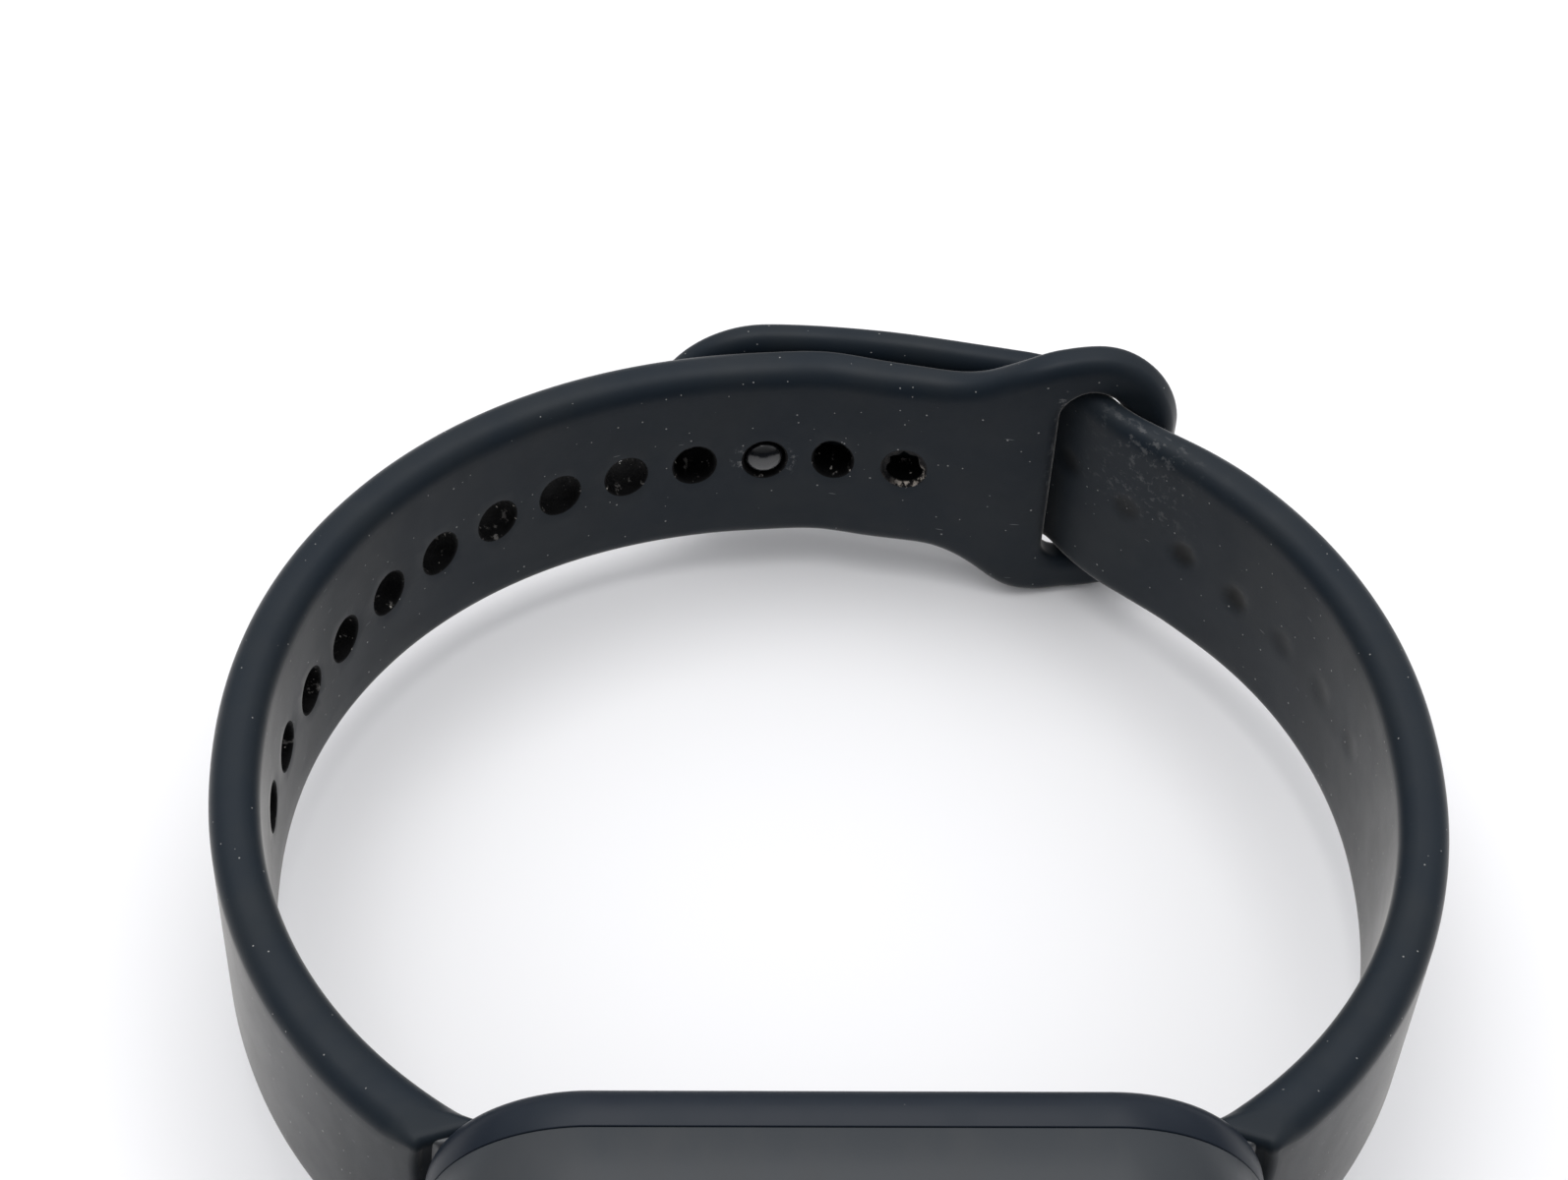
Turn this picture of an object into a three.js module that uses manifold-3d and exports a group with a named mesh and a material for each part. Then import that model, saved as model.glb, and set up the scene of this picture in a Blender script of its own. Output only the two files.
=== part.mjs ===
// Fitness tracker band: a slim tracker module, a strap with a row of holes that ends in a
// slotted loop, and a tail strap that passes through the loop and is held by a stud.
// Millimetres. X runs along the screen, Y from the screen to the clasp, Z is up.
// The origin is the centre of the bounding box's base: the closed band stands on its edge.

import * as THREE from 'three';
import { mergeVertices } from 'three/addons/utils/BufferGeometryUtils.js';
import Module from 'manifold-3d';

const wasm = await Module();
wasm.setup();

// Driving dimensions: tracker module
const CASE_LENGTH = 42.4;
const CASE_WIDTH = 26.0;
const CASE_DEPTH = 9.9;
const CASE_CORNER = 8.4;
const REAR_EDGE = 1.5;
const GLASS_EDGE = 0.8;
const SEAM_LEVEL = 2.7;
const GLASS_LEVEL = 8.55;
const FRONT_Y = -34.5;
const GAP = 0.3;

// Driving dimensions: band
const STRAP_WIDTH = 14.6;
const STRAP_THICK = 2.8;
const ROOT_THICK = 3.4;
const ROOT_TAPER_LENGTH = 26;
const LOOP_THICK = 2.2;
const FLAP_THICK = 2.0;
const STRAP_EDGE = 0.7;
const RING_HALF_X = 32.7;
const RING_HALF_Y = 30.2;
const RING_POWER = 2.12;
const RING_CENTRE_Y = 0.5;
const ROOT_X = 16.5;
const HOLE_RADIUS = 1.45;
const HOLE_PITCH = 4.55;
const HOLES_BEFORE_STUD = 10;
const HOLES_AFTER_STUD = 2;
const STUD_X = -3.1;

// Driving dimensions: slotted loop and clasp
const LOOP_WIDTH = 20.6;
const LOOP_END_X = 21.9;
const LOOP_CORNER = 5.3;
const FLARE_START_X = 7.0;
const FLARE_END_X = 15.6;
const SLOT_LEFT_X = 14.5;
const SLOT_RIGHT_X = 19.3;
const SLOT_HEIGHT = 15.8;
const SLOT_CORNER = 2.2;
const PEEL_X = 13.4;
const PEEL_Y = 31.1;
const FLAP_TIP_X = STUD_X - STRAP_WIDTH / 2;
const STUD_HEAD_RADIUS = 1.15;
const STUD_NECK_RADIUS = 0.7;
const STUD_CAP_RADIUS = 3.4;

// Driving dimensions: hooks that hold the straps in the ends of the case
const HOOK_X = 19.2;
const HOOK_THICK = 1.2;
const HOOK_WIDTH = 11.0;
const HOOK_DEPTH = 5.2;
const ROOT_PLATE = { length: 5.0, thick: 1.0, width: 12.0 };

// Driving dimensions: inside the module, levels counted from the wrist side
const CAVITY = { length: 34.6, width: 23.4, corner: 5.0 };
const COVER_FLOOR = 1.0;
const SENSOR = { length: 14.0, width: 12.0, corner: 4.0, rise: 0.6 };
const CONTACT_X = 9.4;
const CONTACT_RADIUS = 0.9;
const BOARD_LEVEL = 6.0;
const BOARD_THICK = 0.6;
const BRACKET_LEVEL = 6.9;
const DISPLAY_LEVEL = 7.5;
const MOTOR = { x: 13.0, y: 5.2, radius: 3.5, low: 1.4, high: 4.4, wall: 0.35 };
const SCREWS = [{ x: 13.6, y: -10.0 }, { x: -13.6, y: 10.0 }];
const BOSS_RADIUS = 1.9;

const MID_Z = CASE_WIDTH / 2;
const BACK_Y = FRONT_Y + CASE_DEPTH;

// Materials

function finish(color, roughness, metalness = 0) {
  return new THREE.MeshStandardMaterial({ color, roughness, metalness });
}

const RUBBER = finish(0x24282d, 0.75);
const CASE_PLASTIC = finish(0x3a3f45, 0.5);
const COVER_PLASTIC = finish(0x272c33, 0.45);
const GLASS = finish(0x0a0b0d, 0.08);
const CLEAR = finish(0x1a1d22, 0.12);
const STEEL = finish(0xb9bcc0, 0.3, 1);
const GOLD = finish(0xc8a45a, 0.3, 1);
const BOARD = finish(0x143222, 0.55);
const CHIP = finish(0x17181a, 0.45);
const FLEX = finish(0x8a5a1e, 0.5);
const CELL = finish(0x8c9094, 0.4, 0.6);
const FOAM = finish(0x1b1b1b, 0.9);
const GREEN_LENS = finish(0x3fae5a, 0.25);

// Solids

function solid(shape) {
  if (!shape.isBufferGeometry) {
    return shape;
  }
  const bare = shape.clone();
  bare.deleteAttribute('normal');
  bare.deleteAttribute('uv');
  const merged = mergeVertices(bare, 1e-4);
  const mesh = new wasm.Mesh({
    numProp: 3,
    vertProperties: new Float32Array(merged.attributes.position.array),
    triVerts: new Uint32Array(merged.index.array),
  });
  return new wasm.Manifold(mesh);
}

function geometryOf(shape) {
  const mesh = solid(shape).getMesh();
  const geometry = new THREE.BufferGeometry();
  geometry.setAttribute('position', new THREE.BufferAttribute(mesh.vertProperties, 3));
  geometry.setIndex(new THREE.BufferAttribute(mesh.triVerts, 1));
  geometry.computeVertexNormals();
  return geometry;
}

function cut(body, ...tools) {
  return tools.reduce((left, tool) => left.subtract(solid(tool)), solid(body));
}

function join(body, ...others) {
  return others.reduce((sum, other) => sum.add(solid(other)), solid(body));
}

function meet(body, other) {
  return solid(body).intersect(solid(other));
}

// Box between two corners
function block(low, high) {
  const size = high.map((value, axis) => value - low[axis]);
  const geometry = new THREE.BoxGeometry(...size);
  geometry.translate(...low.map((value, axis) => value + size[axis] / 2));
  return geometry;
}

// Box centred in X and Y, between two levels
function chip(x, y, length, width, low, high) {
  return block([x - length / 2, y - width / 2, low], [x + length / 2, y + width / 2, high]);
}

// Round bar along Z
function disc(x, y, radius, low, high, sides = 16) {
  const geometry = new THREE.CylinderGeometry(radius, radius, high - low, sides);
  geometry.rotateX(Math.PI / 2);
  geometry.translate(x, y, (low + high) / 2);
  return geometry;
}

// Rectangle with round corners, centred on the origin
function roundedRect(length, width, radius) {
  const x = length / 2 - radius;
  const y = width / 2 - radius;
  const shape = new THREE.Shape();
  shape.absarc(x, y, radius, 0, Math.PI / 2);
  shape.absarc(-x, y, radius, Math.PI / 2, Math.PI);
  shape.absarc(-x, -y, radius, Math.PI, Math.PI * 1.5);
  shape.absarc(x, -y, radius, Math.PI * 1.5, Math.PI * 2);
  shape.closePath();
  return shape;
}

// Outline drawn in XY and extruded from low to high along Z
function slab(outline, low, high, curveSegments = 6) {
  const options = { depth: high - low, bevelEnabled: false, curveSegments };
  const geometry = new THREE.ExtrudeGeometry(outline, options);
  geometry.translate(0, 0, low);
  return geometry;
}

// The same, with both rims rounded to the edge radius
function softSlab(outline, low, high, edge, bevelSegments, curveSegments = 6) {
  const options = {
    depth: high - low - 2 * edge,
    bevelThickness: edge,
    bevelSize: edge,
    bevelOffset: -edge,
    bevelSegments,
    curveSegments,
  };
  const geometry = new THREE.ExtrudeGeometry(outline, options);
  geometry.translate(0, 0, low + edge);
  return geometry;
}

// Case outline, grown all round by the offset
function caseOutline(offset = 0) {
  const grow = 2 * offset;
  return roundedRect(CASE_LENGTH + grow, CASE_WIDTH + grow, CASE_CORNER + offset);
}

// Cavity outline, grown all round by the offset
function cavityOutline(offset = 0) {
  const grow = 2 * offset;
  return roundedRect(CAVITY.length + grow, CAVITY.width + grow, CAVITY.corner + offset);
}

function ring(outer, inner, low, high) {
  outer.holes.push(inner);
  return slab(outer, low, high);
}

// Scene graph. Module pieces are drawn with X along the screen and Z from wrist to screen.

const assembly = new THREE.Group();
const tracker = new THREE.Group();
tracker.rotation.x = Math.PI / 2;
tracker.position.set(0, BACK_Y, MID_Z);
assembly.add(tracker);

function place(group, name, shape, material) {
  const mesh = new THREE.Mesh(geometryOf(shape), material);
  mesh.name = name;
  group.add(mesh);
}

// Module shells

// Slots in the case ends where the strap hooks go in from the wrist side
function hookSlots() {
  const halfWidth = HOOK_WIDTH / 2 + GAP;
  const halfThick = HOOK_THICK / 2 + GAP;
  const top = HOOK_DEPTH + GAP;
  return [-HOOK_X, HOOK_X].map((x) => chip(x, 0, 2 * halfThick, 2 * halfWidth, -1, top));
}

function rearCover() {
  const whole = softSlab(caseOutline(), 0, 2 * SEAM_LEVEL, REAR_EDGE, 3);
  const above = chip(0, 0, 60, 40, SEAM_LEVEL - GAP / 2, CASE_DEPTH);
  const cavity = slab(cavityOutline(), COVER_FLOOR, CASE_DEPTH);
  const window = slab(roundedRect(SENSOR.length, SENSOR.width, SENSOR.corner), -1, CASE_DEPTH, 5);
  const hole = CONTACT_RADIUS + GAP;
  const contacts = [-CONTACT_X, CONTACT_X].map((x) => disc(x, 0, hole, -1, CASE_DEPTH));
  return cut(whole, above, cavity, window, ...contacts, ...hookSlots());
}

function caseFrame() {
  const outer = slab(caseOutline(), SEAM_LEVEL + GAP / 2, GLASS_LEVEL - GAP / 2);
  const cavity = slab(cavityOutline(), 0, CASE_DEPTH);
  const rebate = slab(cavityOutline(0.65), GLASS_LEVEL - 0.75, CASE_DEPTH);
  const bosses = SCREWS.map(({ x, y }) => disc(x, y, BOSS_RADIUS, 3.3, BOARD_LEVEL - GAP));
  const bores = SCREWS.map(({ x, y }) => disc(x, y, 0.85, 3.8, CASE_DEPTH, 12));
  return cut(join(cut(outer, cavity), ...bosses), rebate, ...bores, ...hookSlots());
}

function frontGlass() {
  const deep = 4;
  const whole = softSlab(caseOutline(-0.3), CASE_DEPTH - deep, CASE_DEPTH, GLASS_EDGE, 3);
  return cut(whole, chip(0, 0, 60, 40, 0, GLASS_LEVEL + GAP / 2));
}

place(tracker, 'case_frame', caseFrame(), CASE_PLASTIC);
place(tracker, 'rear_cover', rearCover(), COVER_PLASTIC);
place(tracker, 'front_glass', frontGlass(), GLASS);
place(tracker, 'glass_bond', ring(cavityOutline(0.35), cavityOutline(-0.1), 8.1, 8.4), FOAM);
place(tracker, 'rear_seal', ring(cavityOutline(-0.3), cavityOutline(-0.8), 2.3, 3.0), RUBBER);

// Display stack

function displayFlex() {
  const profile = new THREE.Shape();
  const fold = { left: -16.5, right: -15.5, low: 6.2, high: 8.0, thick: 0.2 };
  profile.moveTo(fold.right, fold.low);
  profile.lineTo(fold.left, fold.low);
  profile.lineTo(fold.left, fold.high);
  profile.lineTo(fold.right, fold.high);
  profile.lineTo(fold.right, fold.high - fold.thick);
  profile.lineTo(fold.left + fold.thick, fold.high - fold.thick);
  profile.lineTo(fold.left + fold.thick, fold.low + fold.thick);
  profile.lineTo(fold.right, fold.low + fold.thick);
  profile.closePath();
  const ribbon = slab(profile, -4, 4);
  ribbon.rotateX(Math.PI / 2);
  return ribbon;
}

function shiftedPlate(low, high) {
  const plate = slab(roundedRect(31.2, 21.6, 3.5), low, high, 4);
  plate.translate(0.6, 0, 0);
  return plate;
}

function innerBracket() {
  const reliefs = SCREWS.map(({ x, y }) => disc(x, y, 1.5, 0, CASE_DEPTH));
  const window = chip(0.6, 0, 18, 12, 0, CASE_DEPTH);
  return cut(shiftedPlate(BRACKET_LEVEL, BRACKET_LEVEL + 0.3), window, ...reliefs);
}

function mainBoard() {
  const holes = SCREWS.map(({ x, y }) => disc(x, y, 0.85, 0, CASE_DEPTH, 12));
  return cut(shiftedPlate(BOARD_LEVEL, BOARD_LEVEL + BOARD_THICK), ...holes);
}

function boardScrew({ x, y }) {
  const head = disc(x, y, 1.1, BRACKET_LEVEL, BRACKET_LEVEL + 0.3, 12);
  const driveSlot = chip(x, y, 1.6, 0.3, BRACKET_LEVEL + 0.15, CASE_DEPTH);
  const shank = disc(x, y, 0.5, 4.1, BRACKET_LEVEL + 0.1, 10);
  return cut(join(head, shank), driveSlot);
}

place(tracker, 'display_panel', shiftedPlate(DISPLAY_LEVEL, 8.4), CHIP);
place(tracker, 'display_flex', displayFlex(), FLEX);
place(tracker, 'inner_bracket', innerBracket(), STEEL);
place(tracker, 'main_board', mainBoard(), BOARD);
SCREWS.forEach((screw, index) => {
  place(tracker, `board_screw_${index + 1}`, boardScrew(screw), STEEL);
});

// Chips under the board, and the battery

const CHIP_TOP = BOARD_LEVEL - GAP;
place(tracker, 'processor_chip', chip(12.3, -2.7, 4.8, 4.8, CHIP_TOP - 0.8, CHIP_TOP), CHIP);
place(tracker, 'power_chip', chip(10.5, -7.2, 2.6, 2.6, CHIP_TOP - 0.7, CHIP_TOP), CHIP);
place(tracker, 'motion_sensor_chip', chip(14.6, -6.7, 2.2, 1.8, CHIP_TOP - 0.7, CHIP_TOP), CHIP);

const batteryBody = softSlab(roundedRect(24.0, 15.6, 1.6), 3.3, CHIP_TOP, 0.4, 1, 3);
batteryBody.translate(-3.9, 0, 0);
place(tracker, 'battery', batteryBody, CELL);
place(tracker, 'antenna', block([-10, 11.0, 4.0], [9, 11.3, 5.6]), GOLD);

// Vibration motor: an eccentric weight on a shaft in a flat cup

const spinning = new THREE.Group();
spinning.position.set(MOTOR.x, MOTOR.y, 0);
tracker.add(spinning);

function motorCup() {
  const floor = MOTOR.low + MOTOR.wall;
  const cup = disc(0, 0, MOTOR.radius, MOTOR.low, MOTOR.high, 24);
  const hollow = disc(0, 0, MOTOR.radius - MOTOR.wall, floor, CASE_DEPTH, 24);
  const shaft = disc(0, 0, 0.35, MOTOR.low + 0.1, MOTOR.high, 10);
  return join(cut(cup, hollow), shaft);
}

function motorRotor() {
  const low = MOTOR.low + MOTOR.wall + GAP;
  const high = MOTOR.high - GAP;
  const reach = MOTOR.radius - MOTOR.wall - GAP;
  const sector = new THREE.Shape();
  sector.absarc(0, 0, reach, 0, Math.PI);
  sector.closePath();
  const weight = slab(sector, low, high, 12);
  const hub = disc(0, 0, 1.2, low, high, 12);
  return cut(join(weight, hub), disc(0, 0, 0.65, 0, CASE_DEPTH, 12));
}

place(spinning, 'motor_cup', motorCup(), STEEL);
place(spinning, 'motor_rotor', motorRotor(), STEEL);
place(spinning, 'motor_lid', disc(0, 0, MOTOR.radius, MOTOR.high + GAP, MOTOR.high + 0.5, 24), STEEL);

// Heart-rate sensor on the wrist side, and the charging contacts

function sensorWindow() {
  const length = SENSOR.length - 2 * GAP;
  const width = SENSOR.width - 2 * GAP;
  const outline = roundedRect(length, width, SENSOR.corner - GAP);
  const whole = softSlab(outline, -SENSOR.rise, 3, 0.5, 2, 5);
  return cut(whole, chip(0, 0, 30, 30, COVER_FLOOR, CASE_DEPTH));
}

const EYES = [{ name: 'led_left', x: -3.8, size: 1.4 }, { name: 'led_right', x: 3.8, size: 1.4 }];
const PHOTODIODE = { x: 0, size: 2.4 };

function lightBaffle() {
  const plate = slab(roundedRect(12.4, 8.4, 2), COVER_FLOOR + GAP, 2.1, 4);
  const wells = [...EYES, PHOTODIODE].map(({ x, size }) => {
    const open = size + 2 * GAP;
    return chip(x, 0, open, open, 0, CASE_DEPTH);
  });
  return cut(plate, ...wells);
}

function contactPin(x) {
  const face = disc(x, 0, CONTACT_RADIUS, 0, 1.6);
  const flange = disc(x, 0, CONTACT_RADIUS + 0.5, COVER_FLOOR + GAP, 1.8);
  return join(face, flange);
}

place(tracker, 'sensor_window', sensorWindow(), CLEAR);
place(tracker, 'light_baffle', lightBaffle(), FOAM);
place(tracker, 'sensor_board', slab(roundedRect(13.0, 10.0, 2), 2.4, 3.0, 4), BOARD);
place(tracker, 'photodiode', chip(PHOTODIODE.x, 0, PHOTODIODE.size, PHOTODIODE.size, 1.6, 2.1), CHIP);
EYES.forEach(({ name, x, size }) => {
  place(tracker, name, chip(x, 0, size, size, 1.5, 2.1), GREEN_LENS);
});
place(tracker, 'charge_contact_left', contactPin(-CONTACT_X), GOLD);
place(tracker, 'charge_contact_right', contactPin(CONTACT_X), GOLD);

// Band routes, seen from above. The ring is a superellipse; side -1 is its left half.

function ringPoint(side, angle) {
  const reach = 2 / RING_POWER;
  const across = Math.abs(Math.cos(angle)) ** reach;
  const deep = Math.sign(Math.sin(angle)) * Math.abs(Math.sin(angle)) ** reach;
  return [side * RING_HALF_X * across, RING_CENTRE_Y + RING_HALF_Y * deep];
}

// Angle at which the ring has a given half width, on its front or back part
function ringAngle(x, back) {
  const angle = Math.acos((Math.abs(x) / RING_HALF_X) ** (RING_POWER / 2));
  return back ? angle : -angle;
}

function ringPoints(side, from, to, steps) {
  const points = [];
  for (let step = 0; step <= steps; step += 1) {
    points.push(ringPoint(side, from + ((to - from) * step) / steps));
  }
  return points;
}

function route(points) {
  const corners = points.map(([x, y]) => new THREE.Vector3(x, y, 0));
  return new THREE.CatmullRomCurve3(corners, false, 'centripetal');
}

const rootAngle = ringAngle(ROOT_X, false);

// Hole strap: round the left of the wrist, then inward a little before the slotted loop
const holeRoute = route([
  ...ringPoints(-1, rootAngle, ringAngle(STUD_X, true), 24),
  [0.5, 30.75],
  [4.2, 30.05],
  [7.8, 29.4],
  [10.8, 28.6],
  [12.8, 28.15],
  [14.6, 28.3],
  [16.5, 28.6],
  [18.3, 28.6],
  [20.1, 28.2],
  [LOOP_END_X, 27.5],
]);

// Tail strap: round the right of the wrist, inside the loop's end bar and out through the slot
const tailRoute = route([
  ...ringPoints(1, rootAngle, ringAngle(20.4, true), 20),
  [18.9, 26.0],
  [17.8, 27.1],
  [16.8, 28.4],
  [15.9, 29.7],
  [14.9, 30.55],
  [PEEL_X, PEEL_Y],
]);

// Flap: the rest of the tail, lying along the outside of the hole strap
const flapRoute = route([
  [PEEL_X, PEEL_Y],
  [11.8, 31.45],
  [10.3, 31.75],
  [4.3, 32.85],
  [-1.8, 33.35],
  [-6, 33.15],
  [FLAP_TIP_X, 32.6],
]);

// Smooth step from 0 to 1
function ease(value) {
  return THREE.MathUtils.smoothstep(value, 0, 1);
}

// Thickness of a strap at a distance from its root, easing into another thickness at its end
function strapThickness(distance, length, endThick, endRun) {
  const root = (ROOT_THICK - STRAP_THICK) * (1 - ease(distance / ROOT_TAPER_LENGTH));
  const end = (endThick - STRAP_THICK) * ease((distance - length + endRun) / (endRun * 0.6));
  return STRAP_THICK + root + end;
}

// Plan outline of a strap: its route with half the thickness to each side
function planOutline(curve, thickness, steps) {
  const left = [];
  const right = [];
  const length = curve.getLength();
  for (let step = 0; step <= steps; step += 1) {
    const share = step / steps;
    const point = curve.getPointAt(share);
    const along = curve.getTangentAt(share);
    const half = thickness(share * length, length) / 2;
    left.push(new THREE.Vector2(point.x - along.y * half, point.y + along.x * half));
    right.push(new THREE.Vector2(point.x + along.y * half, point.y - along.x * half));
  }
  return new THREE.Shape([...left, ...right.reverse()]);
}

// Strap of constant width with soft long edges
function strapBody(curve, thickness, steps) {
  const outline = planOutline(curve, thickness, steps);
  return softSlab(outline, MID_Z - STRAP_WIDTH / 2, MID_Z + STRAP_WIDTH / 2, STRAP_EDGE, 1);
}

// Outline drawn in XZ about the strap's middle, extruded right through the object along Y
function elevation(outline, curveSegments = 8) {
  const prism = slab(outline, -60, 60, curveSegments);
  prism.rotateX(Math.PI / 2);
  prism.translate(0, 0, MID_Z);
  return prism;
}

// Module envelope grown by the gap, in the assembly's axes
function caseEnvelope() {
  const grown = softSlab(caseOutline(GAP), -GAP, 2 * CASE_DEPTH, REAR_EDGE + GAP, 3);
  grown.rotateX(Math.PI / 2);
  grown.translate(0, BACK_Y, MID_Z);
  return grown;
}

// Connector: a plate moulded into the strap root, and a hook that reaches into the case

const ROOT_POINT = { x: 20.3, y: -23.7, slope: THREE.MathUtils.degToRad(44) };

function rootPlate(side, grow = 0) {
  const { length, thick, width } = ROOT_PLATE;
  const size = [length + grow, thick + 2 * grow, width + 2 * grow];
  const plate = new THREE.BoxGeometry(...size);
  plate.translate(size[0] / 2 - 1.2, 0, 0);
  plate.rotateZ(ROOT_POINT.slope);
  if (side < 0) {
    plate.rotateY(Math.PI);
  }
  plate.translate(side * ROOT_POINT.x, ROOT_POINT.y, MID_Z);
  return plate;
}

function hook(side, grow = 0) {
  const halfThick = HOOK_THICK / 2 + grow;
  const halfWidth = HOOK_WIDTH / 2 + grow;
  const low = [side * HOOK_X - halfThick, BACK_Y - HOOK_DEPTH, MID_Z - halfWidth];
  const high = [side * HOOK_X + halfThick, BACK_Y + 1.2 + grow, MID_Z + halfWidth];
  return block(low, high);
}

function hookBridge(side, grow = 0) {
  const inner = HOOK_X - HOOK_THICK / 2 - grow;
  const outer = ROOT_POINT.x + 0.6 + grow;
  const halfWidth = HOOK_WIDTH / 2 + grow;
  const reach = [side * inner, side * outer].sort((a, b) => a - b);
  const low = [reach[0], BACK_Y + GAP - grow, MID_Z - halfWidth];
  const high = [reach[1], BACK_Y + 1.2 + grow, MID_Z + halfWidth];
  return block(low, high);
}

function connector(side) {
  const outside = cut(join(rootPlate(side), hookBridge(side)), caseEnvelope());
  return join(outside, hook(side));
}

function connectorPocket(side) {
  return join(rootPlate(side, GAP), hookBridge(side, GAP), hook(side, GAP));
}

// Hole strap

function flaredOutline() {
  const half = STRAP_WIDTH / 2;
  const wide = LOOP_WIDTH / 2;
  const turn = LOOP_END_X - LOOP_CORNER;
  const middle = (FLARE_START_X + FLARE_END_X) / 2;
  const shape = new THREE.Shape();
  shape.moveTo(-60, -half);
  shape.lineTo(FLARE_START_X, -half);
  shape.bezierCurveTo(middle, -half, middle, -wide, FLARE_END_X, -wide);
  shape.absarc(turn, LOOP_CORNER - wide, LOOP_CORNER, -Math.PI / 2, 0);
  shape.absarc(turn, wide - LOOP_CORNER, LOOP_CORNER, 0, Math.PI / 2);
  shape.lineTo(FLARE_END_X, wide);
  shape.bezierCurveTo(middle, wide, middle, half, FLARE_START_X, half);
  shape.lineTo(-60, half);
  shape.closePath();
  return shape;
}

function slotCutter() {
  const outline = roundedRect(SLOT_RIGHT_X - SLOT_LEFT_X, SLOT_HEIGHT, SLOT_CORNER);
  const cutter = slab(outline, 0, 60, 4);
  cutter.rotateX(Math.PI / 2);
  cutter.translate((SLOT_LEFT_X + SLOT_RIGHT_X) / 2, 60, MID_Z);
  return cutter;
}

function holeThickness(distance, length) {
  return strapThickness(distance, length, LOOP_THICK, 24);
}

// Share of the hole strap's length at which the stud sits
function studShare() {
  let low = 0.5;
  let high = 1;
  for (let step = 0; step < 40; step += 1) {
    const middle = (low + high) / 2;
    const before = holeRoute.getPointAt(middle).x < STUD_X;
    low = before ? middle : low;
    high = before ? high : middle;
  }
  return low;
}

const studPlace = holeRoute.getPointAt(studShare());
const studAlong = holeRoute.getTangentAt(studShare());

// Turns a piece drawn about Z so that Z runs out through the strap at a point of its route
function standOut(geometry, point, along) {
  geometry.rotateX(-Math.PI / 2);
  geometry.rotateZ(Math.atan2(along.y, along.x));
  geometry.translate(point.x, point.y, MID_Z);
  return geometry;
}

function holeCutters() {
  const cutters = [];
  const length = holeRoute.getLength();
  for (let count = -HOLES_BEFORE_STUD; count <= HOLES_AFTER_STUD; count += 1) {
    const share = studShare() + (count * HOLE_PITCH) / length;
    const cutter = disc(0, 0, HOLE_RADIUS, -4, 4, 12);
    cutters.push(standOut(cutter, holeRoute.getPointAt(share), holeRoute.getTangentAt(share)));
  }
  return cutters;
}

// Room for the tail strap where it runs inside the end bar and through the slot
function tailRoom() {
  const grown = (distance, length) => tailThickness(distance, length) + 2 * GAP;
  const height = STRAP_WIDTH / 2 + GAP;
  return slab(planOutline(tailRoute, grown, 44), MID_Z - height, MID_Z + height);
}

function holeStrap() {
  const body = strapBody(holeRoute, holeThickness, 54);
  const plan = planOutline(holeRoute, holeThickness, 54);
  const tall = slab(plan, MID_Z - LOOP_WIDTH / 2, MID_Z + LOOP_WIDTH / 2);
  const plainPart = block([-60, -60, 0], [FLARE_START_X, 60, 30]);
  const loop = cut(meet(tall, elevation(flaredOutline())), plainPart);
  const openings = [slotCutter(), tailRoom(), ...holeCutters()];
  return cut(join(body, loop), ...openings, caseEnvelope(), connectorPocket(-1));
}

// Tail strap and flap

const FLAP_CLEARANCE = 0.35;

function tailThickness(distance, length) {
  return strapThickness(distance, length, FLAP_THICK, 16);
}

function tailStrap() {
  const body = strapBody(tailRoute, tailThickness, 44);
  const hingeRoom = disc(PEEL_X, PEEL_Y, FLAP_THICK / 2 + FLAP_CLEARANCE, 0, 30, 24);
  return cut(body, hingeRoom, caseEnvelope(), connectorPocket(1));
}

function flapOutline() {
  const half = STRAP_WIDTH / 2;
  const shape = new THREE.Shape();
  shape.moveTo(40, -half);
  shape.lineTo(40, half);
  shape.absarc(STUD_X, 0, half, Math.PI / 2, Math.PI * 1.5);
  shape.closePath();
  return shape;
}

// The stud is drawn about Z, from its head inside the hole strap to its cap outside the flap
const STUD = { headLow: -1.3, headHigh: -0.4, flapMiddle: 2.35 };
const CAP_LOW = STUD.flapMiddle + FLAP_THICK / 2 - 0.4;

function tailFlap() {
  const sheet = strapBody(flapRoute, () => FLAP_THICK, 18);
  const half = STRAP_WIDTH / 2;
  const root = disc(PEEL_X, PEEL_Y, FLAP_THICK / 2, MID_Z - half, MID_Z + half);
  const bore = standOut(disc(0, 0, STUD_NECK_RADIUS + GAP, -1, 6, 12), studPlace, studAlong);
  const seatRadius = STUD_CAP_RADIUS + GAP;
  const capSeat = standOut(disc(0, 0, seatRadius, CAP_LOW - GAP, 6, 24), studPlace, studAlong);
  return cut(join(meet(sheet, elevation(flapOutline())), root), bore, capSeat);
}

function studPin() {
  const neck = STUD_NECK_RADIUS;
  const foot = CAP_LOW - GAP;
  const profile = new THREE.Path();
  profile.moveTo(0, STUD.headLow);
  profile.quadraticCurveTo(STUD_HEAD_RADIUS, STUD.headLow, STUD_HEAD_RADIUS, STUD.headHigh);
  profile.lineTo(neck, STUD.headHigh + 0.4);
  profile.lineTo(neck, foot);
  profile.lineTo(0, foot);
  const pin = new THREE.LatheGeometry(profile.getPoints(4), 16);
  pin.rotateX(Math.PI / 2);
  return standOut(pin, studPlace, studAlong);
}

function studCap() {
  const cap = new THREE.CylinderGeometry(STUD_CAP_RADIUS - 0.3, STUD_CAP_RADIUS, 0.7, 24);
  cap.rotateX(Math.PI / 2);
  cap.translate(0, 0, CAP_LOW + 0.35);
  return standOut(cap, studPlace, studAlong);
}

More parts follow.
